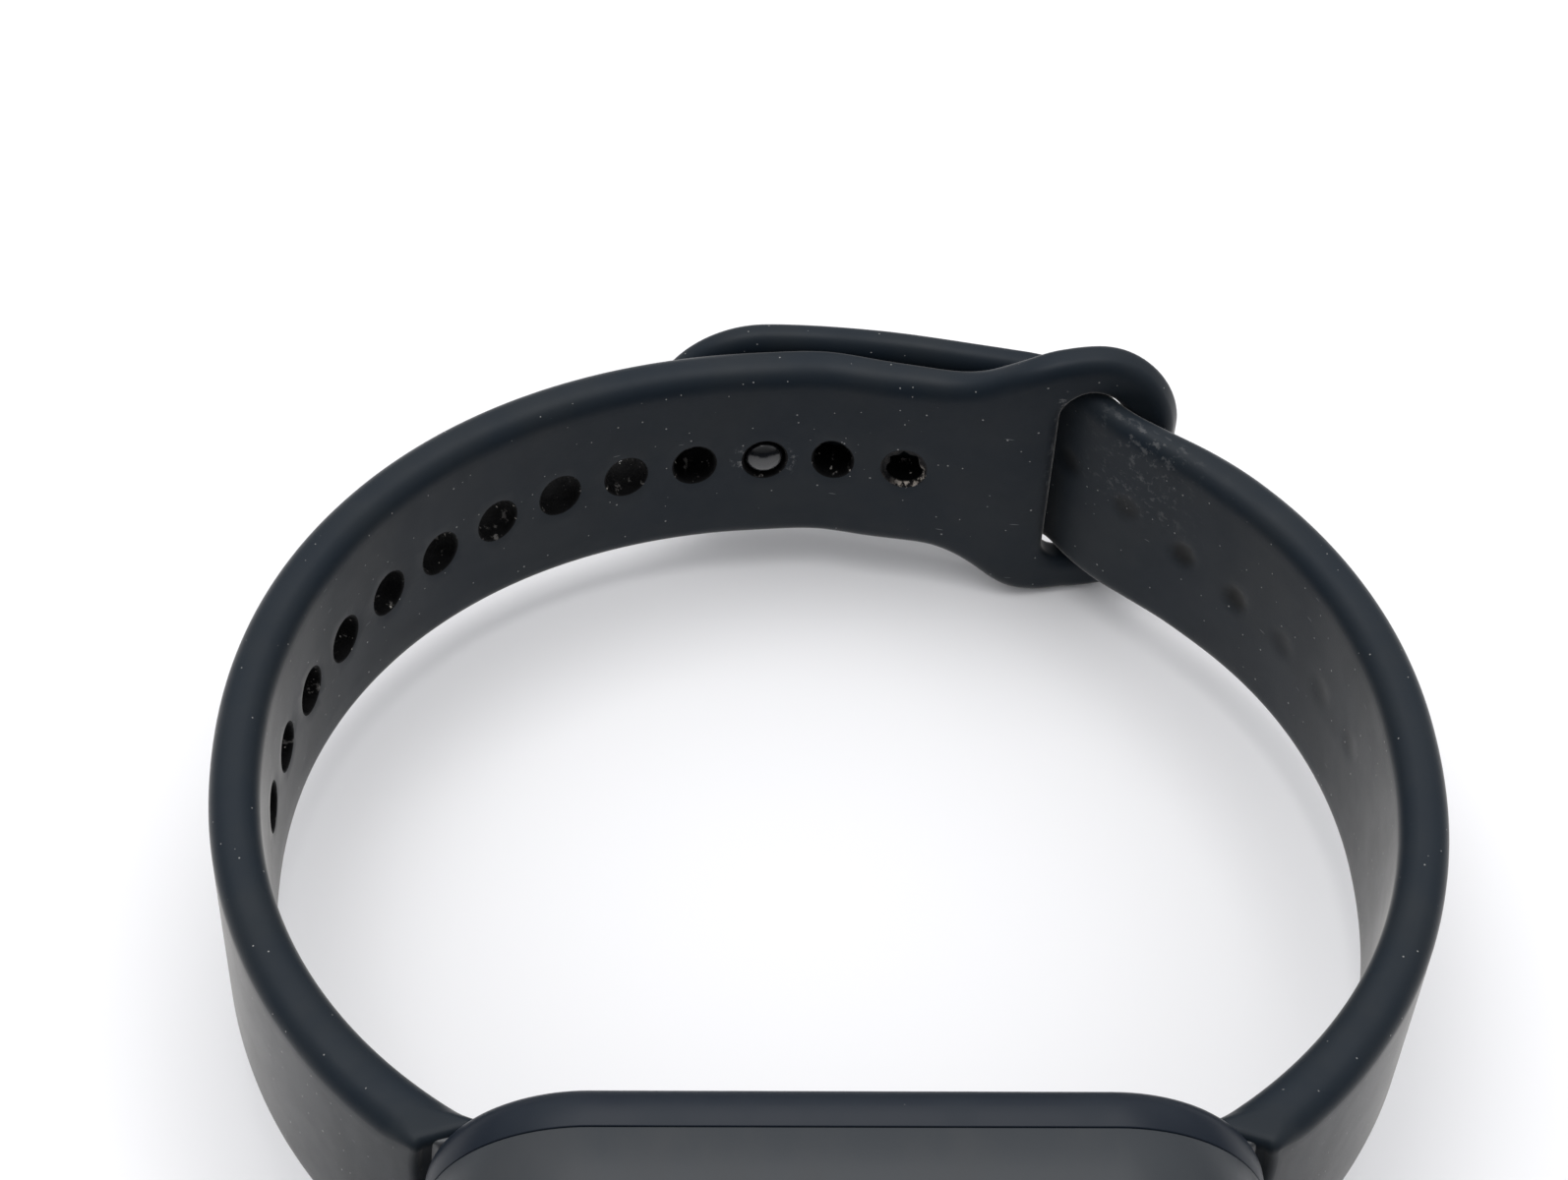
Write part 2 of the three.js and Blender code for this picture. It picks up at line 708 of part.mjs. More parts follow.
const band = new THREE.Group();
assembly.add(band);
place(band, 'hole_strap', holeStrap(), RUBBER);
place(band, 'tail_strap', tailStrap(), RUBBER);
place(band, 'left_connector', connector(-1), CASE_PLASTIC);
place(band, 'right_connector', connector(1), CASE_PLASTIC);
place(band, 'tail_flap', tailFlap(), RUBBER);
place(band, 'stud_pin', studPin(), CHIP);
place(band, 'stud_cap', studCap(), CHIP);

export default assembly;
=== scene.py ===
"""Fitness tracker band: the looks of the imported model.

Sizes are in millimetres until a mesh is made, then in metres. X runs along the screen,
Y from the screen to the clasp, Z is up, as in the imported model.
"""

import math

import bmesh
import bpy
import numpy as np
from mathutils import Matrix, Vector
from mathutils.geometry import delaunay_2d_cdt


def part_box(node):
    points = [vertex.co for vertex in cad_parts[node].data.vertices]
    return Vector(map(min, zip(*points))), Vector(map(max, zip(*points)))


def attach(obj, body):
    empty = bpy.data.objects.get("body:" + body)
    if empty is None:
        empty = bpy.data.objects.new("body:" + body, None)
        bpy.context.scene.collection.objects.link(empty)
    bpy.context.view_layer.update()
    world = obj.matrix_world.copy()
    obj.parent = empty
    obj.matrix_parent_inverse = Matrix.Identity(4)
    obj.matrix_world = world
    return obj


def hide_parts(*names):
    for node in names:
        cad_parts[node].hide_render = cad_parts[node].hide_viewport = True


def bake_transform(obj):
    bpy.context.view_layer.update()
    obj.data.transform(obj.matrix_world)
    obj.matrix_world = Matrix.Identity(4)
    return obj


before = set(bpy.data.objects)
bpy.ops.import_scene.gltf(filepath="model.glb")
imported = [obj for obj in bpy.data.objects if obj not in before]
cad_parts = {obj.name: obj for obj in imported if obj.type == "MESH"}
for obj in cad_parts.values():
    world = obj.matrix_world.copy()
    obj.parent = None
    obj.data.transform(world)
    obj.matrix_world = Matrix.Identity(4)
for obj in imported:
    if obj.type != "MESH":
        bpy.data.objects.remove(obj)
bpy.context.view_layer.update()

MM = 0.001
SHARP_DEGREES = 40
RNG = np.random.default_rng(7)

# Places that the frame gives, in millimetres
COVER_LOW, COVER_HIGH = (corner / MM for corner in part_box("rear_cover"))
GLASS_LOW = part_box("front_glass")[0] / MM
CASE_LENGTH = COVER_HIGH.x - COVER_LOW.x
CASE_WIDTH = COVER_HIGH.z - COVER_LOW.z
BACK_Y = COVER_HIGH.y
CASE_DEPTH = BACK_Y - GLASS_LOW.y
MID_Z = CASE_WIDTH / 2

# Band sizes, as in the CAD source
STRAP_WIDTH = 14.6
STRAP_THICK = 2.8
ROOT_THICK = 3.4
ROOT_TAPER = 26.0
LOOP_THICK = 2.2
FLAP_THICK = 2.0
RING_HALF_X = 32.7
RING_HALF_Y = 30.2
RING_POWER = 2.12
RING_CENTRE_Y = 0.5
ROOT_X = 16.5
HOLE_HALF_ALONG = 1.32
HOLE_HALF_ACROSS = 1.52
HOLE_PITCH = 4.55
HOLES_BEFORE_STUD = 10
HOLES_AFTER_STUD = 2
STUD_X = -3.1
CAP_LOW = 2.95
CAP_RADIUS = 3.4
LOOP_HALF_WIDTH = 10.3
LOOP_END_X = 21.9
LOOP_CORNER = 5.3
FLARE_START_X = 7.0
FLARE_END_X = 15.6
SLOT_LEFT_X = 14.7
SLOT_RIGHT_X = 19.1
SLOT_HALF_HEIGHT = 7.55
PEEL = (13.4, 31.1)

# Edge radii of the strap
OUTER_EDGE = 1.15
INNER_EDGE = 1.3
LOOP_EDGE = 1.0
SLOT_EDGE = 0.85
ROOT_EDGE = 0.5

# Where a strap starts, before its root is shaped to the case
ROOT_START = 2.0
ROOT_GAP = 0.8
NECK_GAP = 0.08

# Case sizes, as in the CAD source. Levels run from the wrist side to the screen.
CASE_CORNER = 8.4
REAR_EDGE = 1.5
SEAM_LEVEL = 2.7
GLASS_LEVEL = 8.55
SEAM_HALF = 0.02
CAVITY_LENGTH = 34.6
CAVITY_WIDTH = 23.4
CAVITY_CORNER = 5.0
COVER_FLOOR = 1.0
CONTACT_X = 9.4
CONTACT_RADIUS = 0.9
WINDOW_LENGTH = 13.5
WINDOW_WIDTH = 11.5
WINDOW_CORNER = 3.75
WINDOW_GAP = 0.25

# The connectors' necks, moulded into the strap roots, and the tabs that hook into the case
NECK_HALF_WIDTH = 6.95
NECK_LENGTH = 6
NECK_THICK = 1.5
HOOK_X = 18.87
HOOK_DEPTH = 5.2
TAB_THICK = 0.9
TAB_WIDTH = 9.8
TAB_END_GAP = 0.18
TAB_SIDE_GAP = 0.3


# -------------------- routes of the band


def centripetal(points, samples):
    """Smooth curve through the points, with no loops where they lie close together."""
    points = np.array(points, float)
    before = 2 * points[0] - points[1]
    after = 2 * points[-1] - points[-2]
    chain = np.vstack([before, points, after])
    curve = []
    for p0, p1, p2, p3 in zip(chain, chain[1:], chain[2:], chain[3:]):
        knots = [0.0]
        for a, b in ((p0, p1), (p1, p2), (p2, p3)):
            knots.append(knots[-1] + np.linalg.norm(b - a) ** 0.5)
        t0, t1, t2, t3 = knots
        t = np.linspace(t1, t2, samples, endpoint=False)[:, None]
        a1 = (t1 - t) / (t1 - t0) * p0 + (t - t0) / (t1 - t0) * p1
        a2 = (t2 - t) / (t2 - t1) * p1 + (t - t1) / (t2 - t1) * p2
        a3 = (t3 - t) / (t3 - t2) * p2 + (t - t2) / (t3 - t2) * p3
        b1 = (t2 - t) / (t2 - t0) * a1 + (t - t0) / (t2 - t0) * a2
        b2 = (t3 - t) / (t3 - t1) * a2 + (t - t1) / (t3 - t1) * a3
        curve.append((t2 - t) / (t2 - t1) * b1 + (t - t1) / (t2 - t1) * b2)
    return np.vstack([*curve, points[-1:]])


class Route:
    """Centreline of a strap seen from above, measured along its length."""

    def __init__(self, points, side):
        fine = centripetal(points, 40)
        steps = np.linalg.norm(np.diff(fine, axis=0), axis=1)
        along = np.concatenate([[0.0], np.cumsum(steps)])
        self.length = along[-1]
        self.side = side
        self.s = np.linspace(0, self.length, int(self.length / 0.2))
        self.x = np.interp(self.s, along, fine[:, 0])
        self.y = np.interp(self.s, along, fine[:, 1])
        turn = np.unwrap(np.arctan2(np.gradient(self.y), np.gradient(self.x)))
        kernel = np.hanning(15) / np.hanning(15).sum()
        padded = np.pad(turn, 7, mode="edge")
        self.turn = np.convolve(padded, kernel, mode="valid")

    def at(self, s):
        """Position and heading at a distance from the root."""
        inside = np.clip(s, 0, self.length)
        x = np.interp(inside, self.s, self.x)
        y = np.interp(inside, self.s, self.y)
        turn = np.interp(inside, self.s, self.turn)
        past = s - inside
        return x + past * np.cos(turn), y + past * np.sin(turn), turn

    def out(self, turn):
        """Unit vector from the centreline to the outside of the band."""
        return -self.side * np.sin(turn), self.side * np.cos(turn)

    def distance_at_x(self, x):
        """Distance from the root to where the back half of the band crosses x."""
        back = self.y > RING_CENTRE_Y
        order = np.argsort(self.x[back])
        return float(np.interp(x, self.x[back][order], self.s[back][order]))


def ring_point(side, angle):
    reach = 2 / RING_POWER
    across = abs(math.cos(angle)) ** reach
    deep = math.copysign(abs(math.sin(angle)) ** reach, math.sin(angle))
    return (side * RING_HALF_X * across, RING_CENTRE_Y + RING_HALF_Y * deep)


def ring_angle(x, back):
    angle = math.acos((abs(x) / RING_HALF_X) ** (RING_POWER / 2))
    return angle if back else -angle


def ring_points(side, end_x, steps):
    start = ring_angle(ROOT_X, False)
    end = ring_angle(end_x, True)
    return [ring_point(side, start + (end - start) * k / steps) for k in range(steps + 1)]


HOLE_ROUTE = Route(
    ring_points(-1, STUD_X, 24)
    + [(0.5, 30.75), (4.2, 30.05), (7.8, 29.4), (10.8, 28.6), (12.8, 28.15), (14.6, 28.3)]
    + [(16.5, 28.6), (18.3, 28.6), (20.1, 28.2), (LOOP_END_X, 27.5)],
    side=1,
)
TAIL_ROUTE = Route(
    ring_points(1, 20.4, 20)
    + [(18.9, 26.0), (17.8, 27.1), (16.8, 28.4), (15.9, 29.7), (14.9, 30.55), PEEL]
    + [(11.8, 31.45), (10.3, 31.75), (4.3, 32.85), (-1.8, 33.35), (-6.0, 33.15)]
    + [(STUD_X - STRAP_WIDTH / 2, 32.6)],
    side=-1,
)
STUD_DISTANCE = HOLE_ROUTE.distance_at_x(STUD_X)
PEEL_DISTANCE = TAIL_ROUTE.distance_at_x(PEEL[0])


def ease(value):
    value = np.clip(value, 0, 1)
    return value * value * (3 - 2 * value)


def strap_thickness(s, length, end_thick, end_run):
    root = (ROOT_THICK - STRAP_THICK) * (1 - ease(s / ROOT_TAPER))
    end = (end_thick - STRAP_THICK) * ease((s - length + end_run) / (end_run * 0.6))
    return STRAP_THICK + root + end


def hole_thickness(s):
    return strap_thickness(s, HOLE_ROUTE.length, LOOP_THICK, 24)


def tail_thickness(s):
    return strap_thickness(s, PEEL_DISTANCE, FLAP_THICK, 16)


def bent(route, thickness):
    """Maps a flat strap (distance, across, level) onto its route. Level is in half thicknesses."""

    def place(flat):
        s, across, level = flat.T
        x, y, turn = route.at(s)
        out_x, out_y = route.out(turn)
        height = level * thickness(s) / 2
        return np.column_stack([x + height * out_x, y + height * out_y, MID_Z + across])

    return place


def case_clearance(points):
    """Distance from the case's rear surface to each point, negative inside the case."""
    x, y, z = points.T
    side_x = np.abs(x) - CASE_LENGTH / 2 + CASE_CORNER
    side_z = np.abs(z - MID_Z) - CASE_WIDTH / 2 + CASE_CORNER
    beyond = np.hypot(np.maximum(side_x, 0), np.maximum(side_z, 0))
    side = beyond + np.minimum(np.maximum(side_x, side_z), 0) - CASE_CORNER + REAR_EDGE
    rear = y - BACK_Y + REAR_EDGE
    outside = np.hypot(np.maximum(side, 0), np.maximum(rear, 0))
    return outside + np.minimum(np.maximum(side, rear), 0) - REAR_EDGE


def fitted_root(route, thickness, gap, run=10.0):
    """The strap's mapping, with its root end drawn onto the case's rounded rear rim."""
    place = bent(route, thickness)

    def fitted(flat):
        flat = flat.copy()
        near = flat[:, 0] < ROOT_START + run
        probe = flat[near].copy()
        inside = np.zeros(len(probe))
        outside = np.full(len(probe), 12.0)
        for _ in range(24):
            middle = (inside + outside) / 2
            probe[:, 0] = middle
            clear = case_clearance(place(probe)) > gap
            outside = np.where(clear, middle, outside)
            inside = np.where(clear, inside, middle)
        share = 1 - ease((flat[near, 0] - ROOT_START) / run)
        flat[near, 0] += (outside - ROOT_START) * share
        return place(flat)

    return fitted


def module_place(flat):
    """Maps the module's own frame (x, short side, level from the wrist) onto the model."""
    x, y, level = flat.T
    return np.column_stack([x, BACK_Y - level, MID_Z + y])


# -------------------- outlines


class Loop:
    """Closed outline with its normals, which point away from the material."""

    def __init__(self, points, hole=False):
        self.points = np.array(points, float)
        ahead = np.roll(self.points, -1, axis=0)
        behind = np.roll(self.points, 1, axis=0)
        along = ahead - behind
        along /= np.linalg.norm(along, axis=1)[:, None]
        away = np.column_stack([along[:, 1], -along[:, 0]])
        self.normals = -away if hole else away


def arc(centre, radius, start, end, steps):
    angles = np.radians(np.linspace(start, end, steps))
    return [(centre[0] + radius * math.cos(a), centre[1] + radius * math.sin(a)) for a in angles]


def rounded_rect(low, high, radii, steps=14):
    """Rectangle with its own corner radius at each corner, from upper right, anticlockwise."""
    corners = [(high[0], high[1]), (low[0], high[1]), (low[0], low[1]), (high[0], low[1])]
    inward = [(-1, -1), (1, -1), (1, 1), (-1, 1)]
    points = []
    for k, ((x, y), (dx, dy), radius) in enumerate(zip(corners, inward, radii)):
        centre = (x + dx * radius, y + dy * radius)
        points += arc(centre, radius, 90 * k, 90 * k + 90, steps)
    return points


def centred_rect(length, width, radius, centre=(0, 0), steps=14):
    x, y = centre
    low = (x - length / 2, y - width / 2)
    high = (x + length / 2, y + width / 2)
    return rounded_rect(low, high, [radius] * 4, steps)


def offset_rect(length, width, radius, offset, steps=14):
    """Centred rectangle grown on every side by an offset."""
    return centred_rect(length + 2 * offset, width + 2 * offset, radius + offset, steps=steps)


def circle(centre, radius, steps=40):
    return arc(centre, radius, 0, 360 * (1 - 1 / steps), steps)


def bezier(p0, p1, p2, p3, steps=24):
    t = np.linspace(0, 1, steps)[:, None]
    a, b, c, d = (np.array(p, float) for p in (p0, p1, p2, p3))
    curve = (1 - t) ** 3 * a + 3 * (1 - t) ** 2 * t * b + 3 * (1 - t) * t**2 * c + t**3 * d
    return [tuple(p) for p in curve]


def resampled(points, spacing):
    """The same closed outline with points at an even spacing."""
    points = np.array(points, float)
    closed = np.vstack([points, points[:1]])
    steps = np.linalg.norm(np.diff(closed, axis=0), axis=1)
    along = np.concatenate([[0.0], np.cumsum(steps)])
    count = int(round(along[-1] / spacing))
    targets = np.linspace(0, along[-1], count, endpoint=False)
    x = np.interp(targets, along, closed[:, 0])
    y = np.interp(targets, along, closed[:, 1])
    return np.column_stack([x, y])


# -------------------- moulded solids


def inside(points, polygon):
    """Which points lie inside a closed polygon."""
    x, y = points[:, 0], points[:, 1]
    hit = np.zeros(len(points), bool)
    for (x0, y0), (x1, y1) in zip(polygon, np.roll(polygon, -1, axis=0)):
        if y0 == y1:
            continue
        crosses = (y0 > y) != (y1 > y)
        hit ^= crosses & (x < (x1 - x0) * (y - y0) / (y1 - y0) + x0)
    return hit


def within(points, polygons):
    """Which points lie inside the first polygon and outside the others."""
    keep = inside(points, polygons[0])
    for polygon in polygons[1:]:
        keep &= ~inside(points, polygon)
    return keep


class Moulding:
    """Closed solid made of flat patches and of walls that join their rims."""

    def __init__(self):
        self.points = []
        self.faces = []
        self.slots = []

    def ring(self, loop, out, level):
        """One ring of points: the outline pushed outward, at a level."""
        start = len(self.points)
        moved = loop.points + loop.normals * np.broadcast_to(out, len(loop.points))[:, None]
        levels = np.broadcast_to(level, len(loop.points))
        self.points += [(x, y, z) for (x, y), z in zip(moved, levels)]
        return list(range(start, start + len(moved)))

    def wall(self, loop, profile, slot=0):
        """Wall round an outline. Returns its first and last rings, for patches to meet."""
        rings = [self.ring(loop, out, level) for out, level in profile]
        for low, high in zip(rings, rings[1:]):
            for k in range(len(low)):
                after = (k + 1) % len(low)
                self.faces.append((low[k], low[after], high[after], high[k]))
                self.slots.append(slot)
        return rings[0], rings[-1]

    def patch(self, outline, holes=(), spacing=1.0):
        """Flat face between an outline ring and hole rings, with points inside it."""
        rings = [outline, *holes]
        polygons = [np.array([self.points[k][:2] for k in ring]) for ring in rings]
        level = self.points[outline[0]][2]
        ids = [k for ring in rings for k in ring]
        edges = []
        for ring in rings:
            base = len(edges)
            count = len(ring)
            edges += [(base + k, base + (k + 1) % count) for k in range(count)]
        for x, y in self.inner_grid(polygons, spacing):
            ids.append(len(self.points))
            self.points.append((x, y, level))
        flat = [Vector(self.points[k][:2]) for k in ids]
        _, _, triangles, origins, _, _ = delaunay_2d_cdt(flat, edges, [], 0, 1e-7)
        corners = np.array([[ids[origins[v][0]] for v in tri] for tri in triangles])
        places = np.array(self.points)[:, :2]
        keep = within(places[corners].mean(axis=1), polygons)
        self.faces += [tuple(tri) for tri in corners[keep].tolist()]
        self.slots += [0] * int(keep.sum())

    @staticmethod
    def inner_grid(polygons, spacing):
        low = polygons[0].min(axis=0) + spacing / 2
        high = polygons[0].max(axis=0)
        xs = np.arange(low[0], high[0], spacing)
        ys = np.arange(low[1], high[1], spacing)
        grid = np.array([(x, y) for x in xs for y in ys]).reshape(-1, 2)
        grid = grid[within(grid, polygons)]
        rims = np.vstack(polygons)
        clear = np.ones(len(grid), bool)
        for start in range(0, len(grid), 500):
            part = grid[start : start + 500]
            gaps = np.linalg.norm(part[:, None, :] - rims[None, :, :], axis=2).min(axis=1)
            clear[start : start + 500] = gaps > 0.45 * spacing
        return grid[clear]

    def build(self, name, materials, place, shape=None, marks=None):
        """Makes the mesh object, keeping each point's flat place as an attribute.

        shape moves the flat points before they are placed, and marks gives named numbers
        for each flat point that the materials read.
        """
        flat = np.array(self.points)
        world = place(flat if shape is None else shape(flat))
        mesh = bpy.data.meshes.new(name)
        mesh.from_pydata((world * MM).tolist(), [], self.faces)
        stored = mesh.attributes.new("flat", "FLOAT_VECTOR", "POINT")
        stored.data.foreach_set("vector", flat.astype(np.float32).ravel())
        for label, measure in (marks or {}).items():
            stored = mesh.attributes.new(label, "FLOAT", "POINT")
            stored.data.foreach_set("value", measure(flat).astype(np.float32))
        mesh.polygons.foreach_set("material_index", self.slots)
        for material in materials:
            mesh.materials.append(material)
        made = bmesh.new()
        made.from_mesh(mesh)
        bmesh.ops.remove_doubles(made, verts=made.verts, dist=1e-7)
        loose = [v for v in made.verts if not v.link_faces]
        bmesh.ops.delete(made, geom=loose, context="VERTS")
        bmesh.ops.recalc_face_normals(made, faces=made.faces)
        open_edges = sum(1 for e in made.edges if len(e.link_faces) != 2)
        if made.calc_volume(signed=True) < 0:
            bmesh.ops.reverse_faces(made, faces=made.faces)
        made.to_mesh(mesh)
        made.free()
        if open_edges:
            print("open edges in", name, open_edges)
        mesh.shade_smooth()
        mesh.set_sharp_from_angle(angle=math.radians(SHARP_DEGREES))
        piece = bpy.data.objects.new(name, mesh)
        bpy.context.scene.collection.objects.link(piece)
        return piece


def edge_arc(radius, face_level, up, steps=7):
    """Profile of a rounded rim, from the face to the wall. Out is measured from the wall."""
    profile = []
    for angle in np.linspace(0, math.pi / 2, steps):
        out = radius * (math.sin(angle) - 1)
        level = face_level - up * radius * (1 - math.cos(angle))
        profile.append((out, level))
    return profile


def strap_profile(outer, inner, half, steps=8):
    """Rim of a strap from its outer face to its inner face. Levels are in half thicknesses.

    The edge radii may be arrays that change along the outline.
    """
    outer_part = [(out, level / half) for out, level in edge_arc(outer, half, 1, steps)]
    inner_part = [(out, level / half) for out, level in edge_arc(inner, -half, -1, steps)]
    return outer_part + inner_part[::-1]


def shell_profile(low, high, low_edge, high_edge):
    """Side of a plate between two levels, with a rounded edge at each."""
    lower = edge_arc(low_edge, low, -1, 4)
    upper = edge_arc(high_edge, high, 1, 4)
    return lower + upper[::-1]


def solid(outline, profile, spacing):
    """Moulding whose side follows a profile round an outline, closed at both ends."""
    body = Moulding()
    for rim in body.wall(Loop(outline), profile):
        body.patch(rim, spacing=spacing)
    return body


def finish(piece, body, slot, *nodes):
    """Puts a piece on its body and hides the CAD nodes that it stands for."""
    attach(piece, body)
    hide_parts(*nodes)
    return piece


# -------------------- materials


def add_node(tree, kind, inputs, settings):
    """A node with its settings, and its inputs in order: values, sockets or None."""
    made = tree.nodes.new(kind)
    for key, value in settings.items():
        setattr(made, key, value)
    for socket, value in zip(made.inputs, inputs):
        if isinstance(value, bpy.types.NodeSocket):
            tree.links.new(value, socket)
        elif value is not None:
            socket.default_value = value
    return made


class Finish:
    """A material's node tree. Patterns are laid out in millimetres."""

    def __init__(self, name, color, roughness, specular=0.5, metallic=0.0, moulded=True):
        self.material = bpy.data.materials.new(name)
        self.material.use_nodes = True
        self.tree = self.material.node_tree
        self.surface = self.tree.nodes["Principled BSDF"]
        self.color = (*color, 1)
        self.roughness = roughness
        self.set("Base Color", self.color)
        self.set("Roughness", roughness)
        self.set("Specular IOR Level", specular)
        self.set("Metallic", metallic)
        self.place = self.flat_place() if moulded else self.solid_place()

    def set(self, socket, value):
        self.surface.inputs[socket].default_value = value

    def link(self, output, socket):
        self.tree.links.new(output, self.surface.inputs[socket])

    def node(self, kind, *inputs, **settings):
        return add_node(self.tree, kind, inputs, settings)

    def flat_place(self):
        """Place on the flat pattern that a moulded piece was bent from."""
        made = self.node("ShaderNodeAttribute", attribute_name="flat")
        return made.outputs["Vector"]

    def solid_place(self):
        coordinates = self.node("ShaderNodeTexCoord").outputs["Object"]
        return self.stretched((1 / MM, 1 / MM, 1 / MM), place=coordinates)

    def number(self, name):
        return self.node("ShaderNodeAttribute", attribute_name=name).outputs["Fac"]

    def stretched(self, stretch, turn=0.0, shift=0.0, place=None):
        place = self.place if place is None else place
        angle = (0, 0, math.radians(turn))
        made = self.node("ShaderNodeMapping", place, (shift, shift, shift), angle, stretch)
        return made.outputs["Vector"]

    def math(self, operation, a, b):
        return self.node("ShaderNodeMath", a, b, operation=operation).outputs[0]

    def noise(self, place, scale, detail=3.0, rough=0.55):
        return self.node("ShaderNodeTexNoise", place, None, scale, detail, rough).outputs["Fac"]

    def ramp(self, value, low, high, bottom=0.0, top=1.0):
        """Smooth step of a value between two limits, onto a new range."""
        made = self.node("ShaderNodeMapRange", value, low, high, bottom, top)
        made.interpolation_type = "SMOOTHSTEP"
        return made.outputs[0]

    def specks(self, place, scale, size, share, dimensions="2D"):
        """Scattered dots of about the given size, at a share of the pattern's cells."""
        settings = {"feature": "F1", "voronoi_dimensions": dimensions}
        cells = self.node("ShaderNodeTexVoronoi", place, None, scale, **settings)
        dot = self.ramp(cells.outputs["Distance"], size * scale, 0.45 * size * scale)
        pick = self.node("ShaderNodeSeparateColor", cells.outputs["Color"]).outputs[0]
        chosen = self.math("LESS_THAN", pick, share)
        return self.math("MULTIPLY", dot, chosen)

    def mixed(self, factor, a, b):
        """Colour a where the factor is 0 and b where it is 1."""
        made = self.node("ShaderNodeMix", data_type="RGBA")
        sockets = [s for s in made.inputs if s.type == "RGBA"]
        self.tree.links.new(factor, made.inputs[0])
        for socket, value in zip(sockets, (a, b)):
            if isinstance(value, bpy.types.NodeSocket):
                self.tree.links.new(value, socket)
            else:
                socket.default_value = value
        return next(s for s in made.outputs if s.type == "RGBA")

    def bump(self, height, depth, strength=1.0):
        """Relief from a 0 to 1 height, as deep as the given millimetres."""
        made = self.node("ShaderNodeBump")
        made.inputs["Strength"].default_value = strength
        made.inputs["Distance"].default_value = depth * MM
        self.tree.links.new(height, made.inputs["Height"])
        self.link(made.outputs["Normal"], "Normal")


def rubber_finish():
    """Soft matt rubber with fine grain, dust, short scratches and scuffed rims, with painted shade in
    the tail's dimples and a painted reflection of the table's light low on the tail's right flank.
    """
    look = Finish("strap_rubber", (0.0073, 0.0123, 0.0188), 0.46, specular=0.16)
    look.set("Sheen Weight", 0.38)
    look.set("Sheen Roughness", 0.3)
    look.set("Sheen Tint", (1, 0.97, 0.93, 1))
    place = look.stretched((1, 1, 1.3))
    cloudy = look.noise(place, 0.16, 4.0)
    body = look.mixed(look.ramp(cloudy, 0.38, 0.64), look.color, (0.0105, 0.0148, 0.0198, 1))
    # Painted reflection: a pale streaky film low on the inside of the tail's right flank, lightened
    # where the table's bounce light falls.
    bounce_smear = look.noise(look.stretched((0.05, 0.42, 1), turn=34), 1.0, 5.0, 0.6)
    bounce_smeared = look.math("MULTIPLY", look.ramp(bounce_smear, 0.5, 0.72, 0.35, 1), look.number("bounce_smear"))
    body = look.mixed(bounce_smeared, body, (0.032, 0.034, 0.036, 1))
    # Painted shade: the pressed dimples on the tail's inner face are darkened to near black.
    body = look.mixed(look.number("dimple_shade"), body, (0.001, 0.0015, 0.002, 1))
    dust = look.specks(place, 0.6, 0.075, 0.13)
    fine = look.specks(look.stretched((1, 1, 1.3), shift=9.0), 1.3, 0.06, 0.6, "3D")
    hair_1 = look.specks(look.stretched((0.22, 1.7, 1.3), turn=57), 0.55, 0.07, 0.05)
    hair_2 = look.specks(look.stretched((0.25, 1.9, 1.3), turn=-66, shift=5.0), 0.5, 0.06, 0.05)
    dust = look.math("MULTIPLY", dust, look.number("face"))
    crumbs = look.math("MAXIMUM", dust, fine)
    hairs = look.math("MULTIPLY", look.math("MAXIMUM", hair_1, hair_2), look.number("face"))
    body = look.mixed(look.math("MULTIPLY", hairs, 0.28), body, (0.32, 0.33, 0.34, 1))
    body = look.mixed(look.math("MULTIPLY", crumbs, 0.6), body, (0.42, 0.42, 0.41, 1))
    rough = look.noise(look.stretched((1.6, 1.6, 3)), 1.0, 6.0, 0.7)
    scuff = look.math("MULTIPLY", look.ramp(rough, 0.53, 0.63), look.number("scuff"))
    body = look.mixed(scuff, body, (0.24, 0.24, 0.24, 1))
    look.link(body, "Base Color")
    patches = look.noise(place, 0.35, 5.0)
    look.link(look.ramp(patches, 0.3, 0.7, 0.45, 0.52), "Roughness")
    grain = look.noise(place, 7.0, 3.0, 0.7)
    look.bump(look.math("ADD", look.math("MULTIPLY", grain, 0.5), crumbs), 0.02, 0.6)
    return look.material


def hole_finish():
    """Rubber inside a hole, rough, with pale crumbs; its colour is painted nearly black, darker than
    the strap's faces, as the hole's shade.
    """
    look = Finish("hole_wall", (0.0016, 0.0017, 0.002), 0.7, specular=0.12)
    crumbs = look.noise(look.stretched((1.5, 1.5, 1.6)), 1.0, 4.0, 0.65)
    flecks = look.ramp(crumbs, 0.6, 0.68)
    tone = look.mixed(flecks, look.color, (0.11, 0.105, 0.1, 1))
    bright = look.ramp(look.noise(look.stretched((2.2, 2.2, 2.4), shift=3.0), 1.0, 3.0), 0.69, 0.73)
    look.link(look.mixed(bright, tone, (0.4, 0.38, 0.35, 1)), "Base Color")
    look.bump(look.noise(look.stretched((1, 1, 1)), 2.6, 5.0, 0.7), 0.12)
    return look.material


def torn_finish():
    """Ragged, whitened edge of a torn hole."""
    look = Finish("torn_rubber", (0.004, 0.004, 0.005), 0.6, specular=0.2)
    shreds = look.ramp(look.noise(look.stretched((2, 2, 2)), 1.0, 5.0, 0.7), 0.5, 0.56)
    pale = look.math("MULTIPLY", shreds, look.number("torn"))
    look.link(look.mixed(pale, look.color, (0.38, 0.34, 0.3, 1)), "Base Color")
    look.bump(shreds, 0.08)
    return look.material


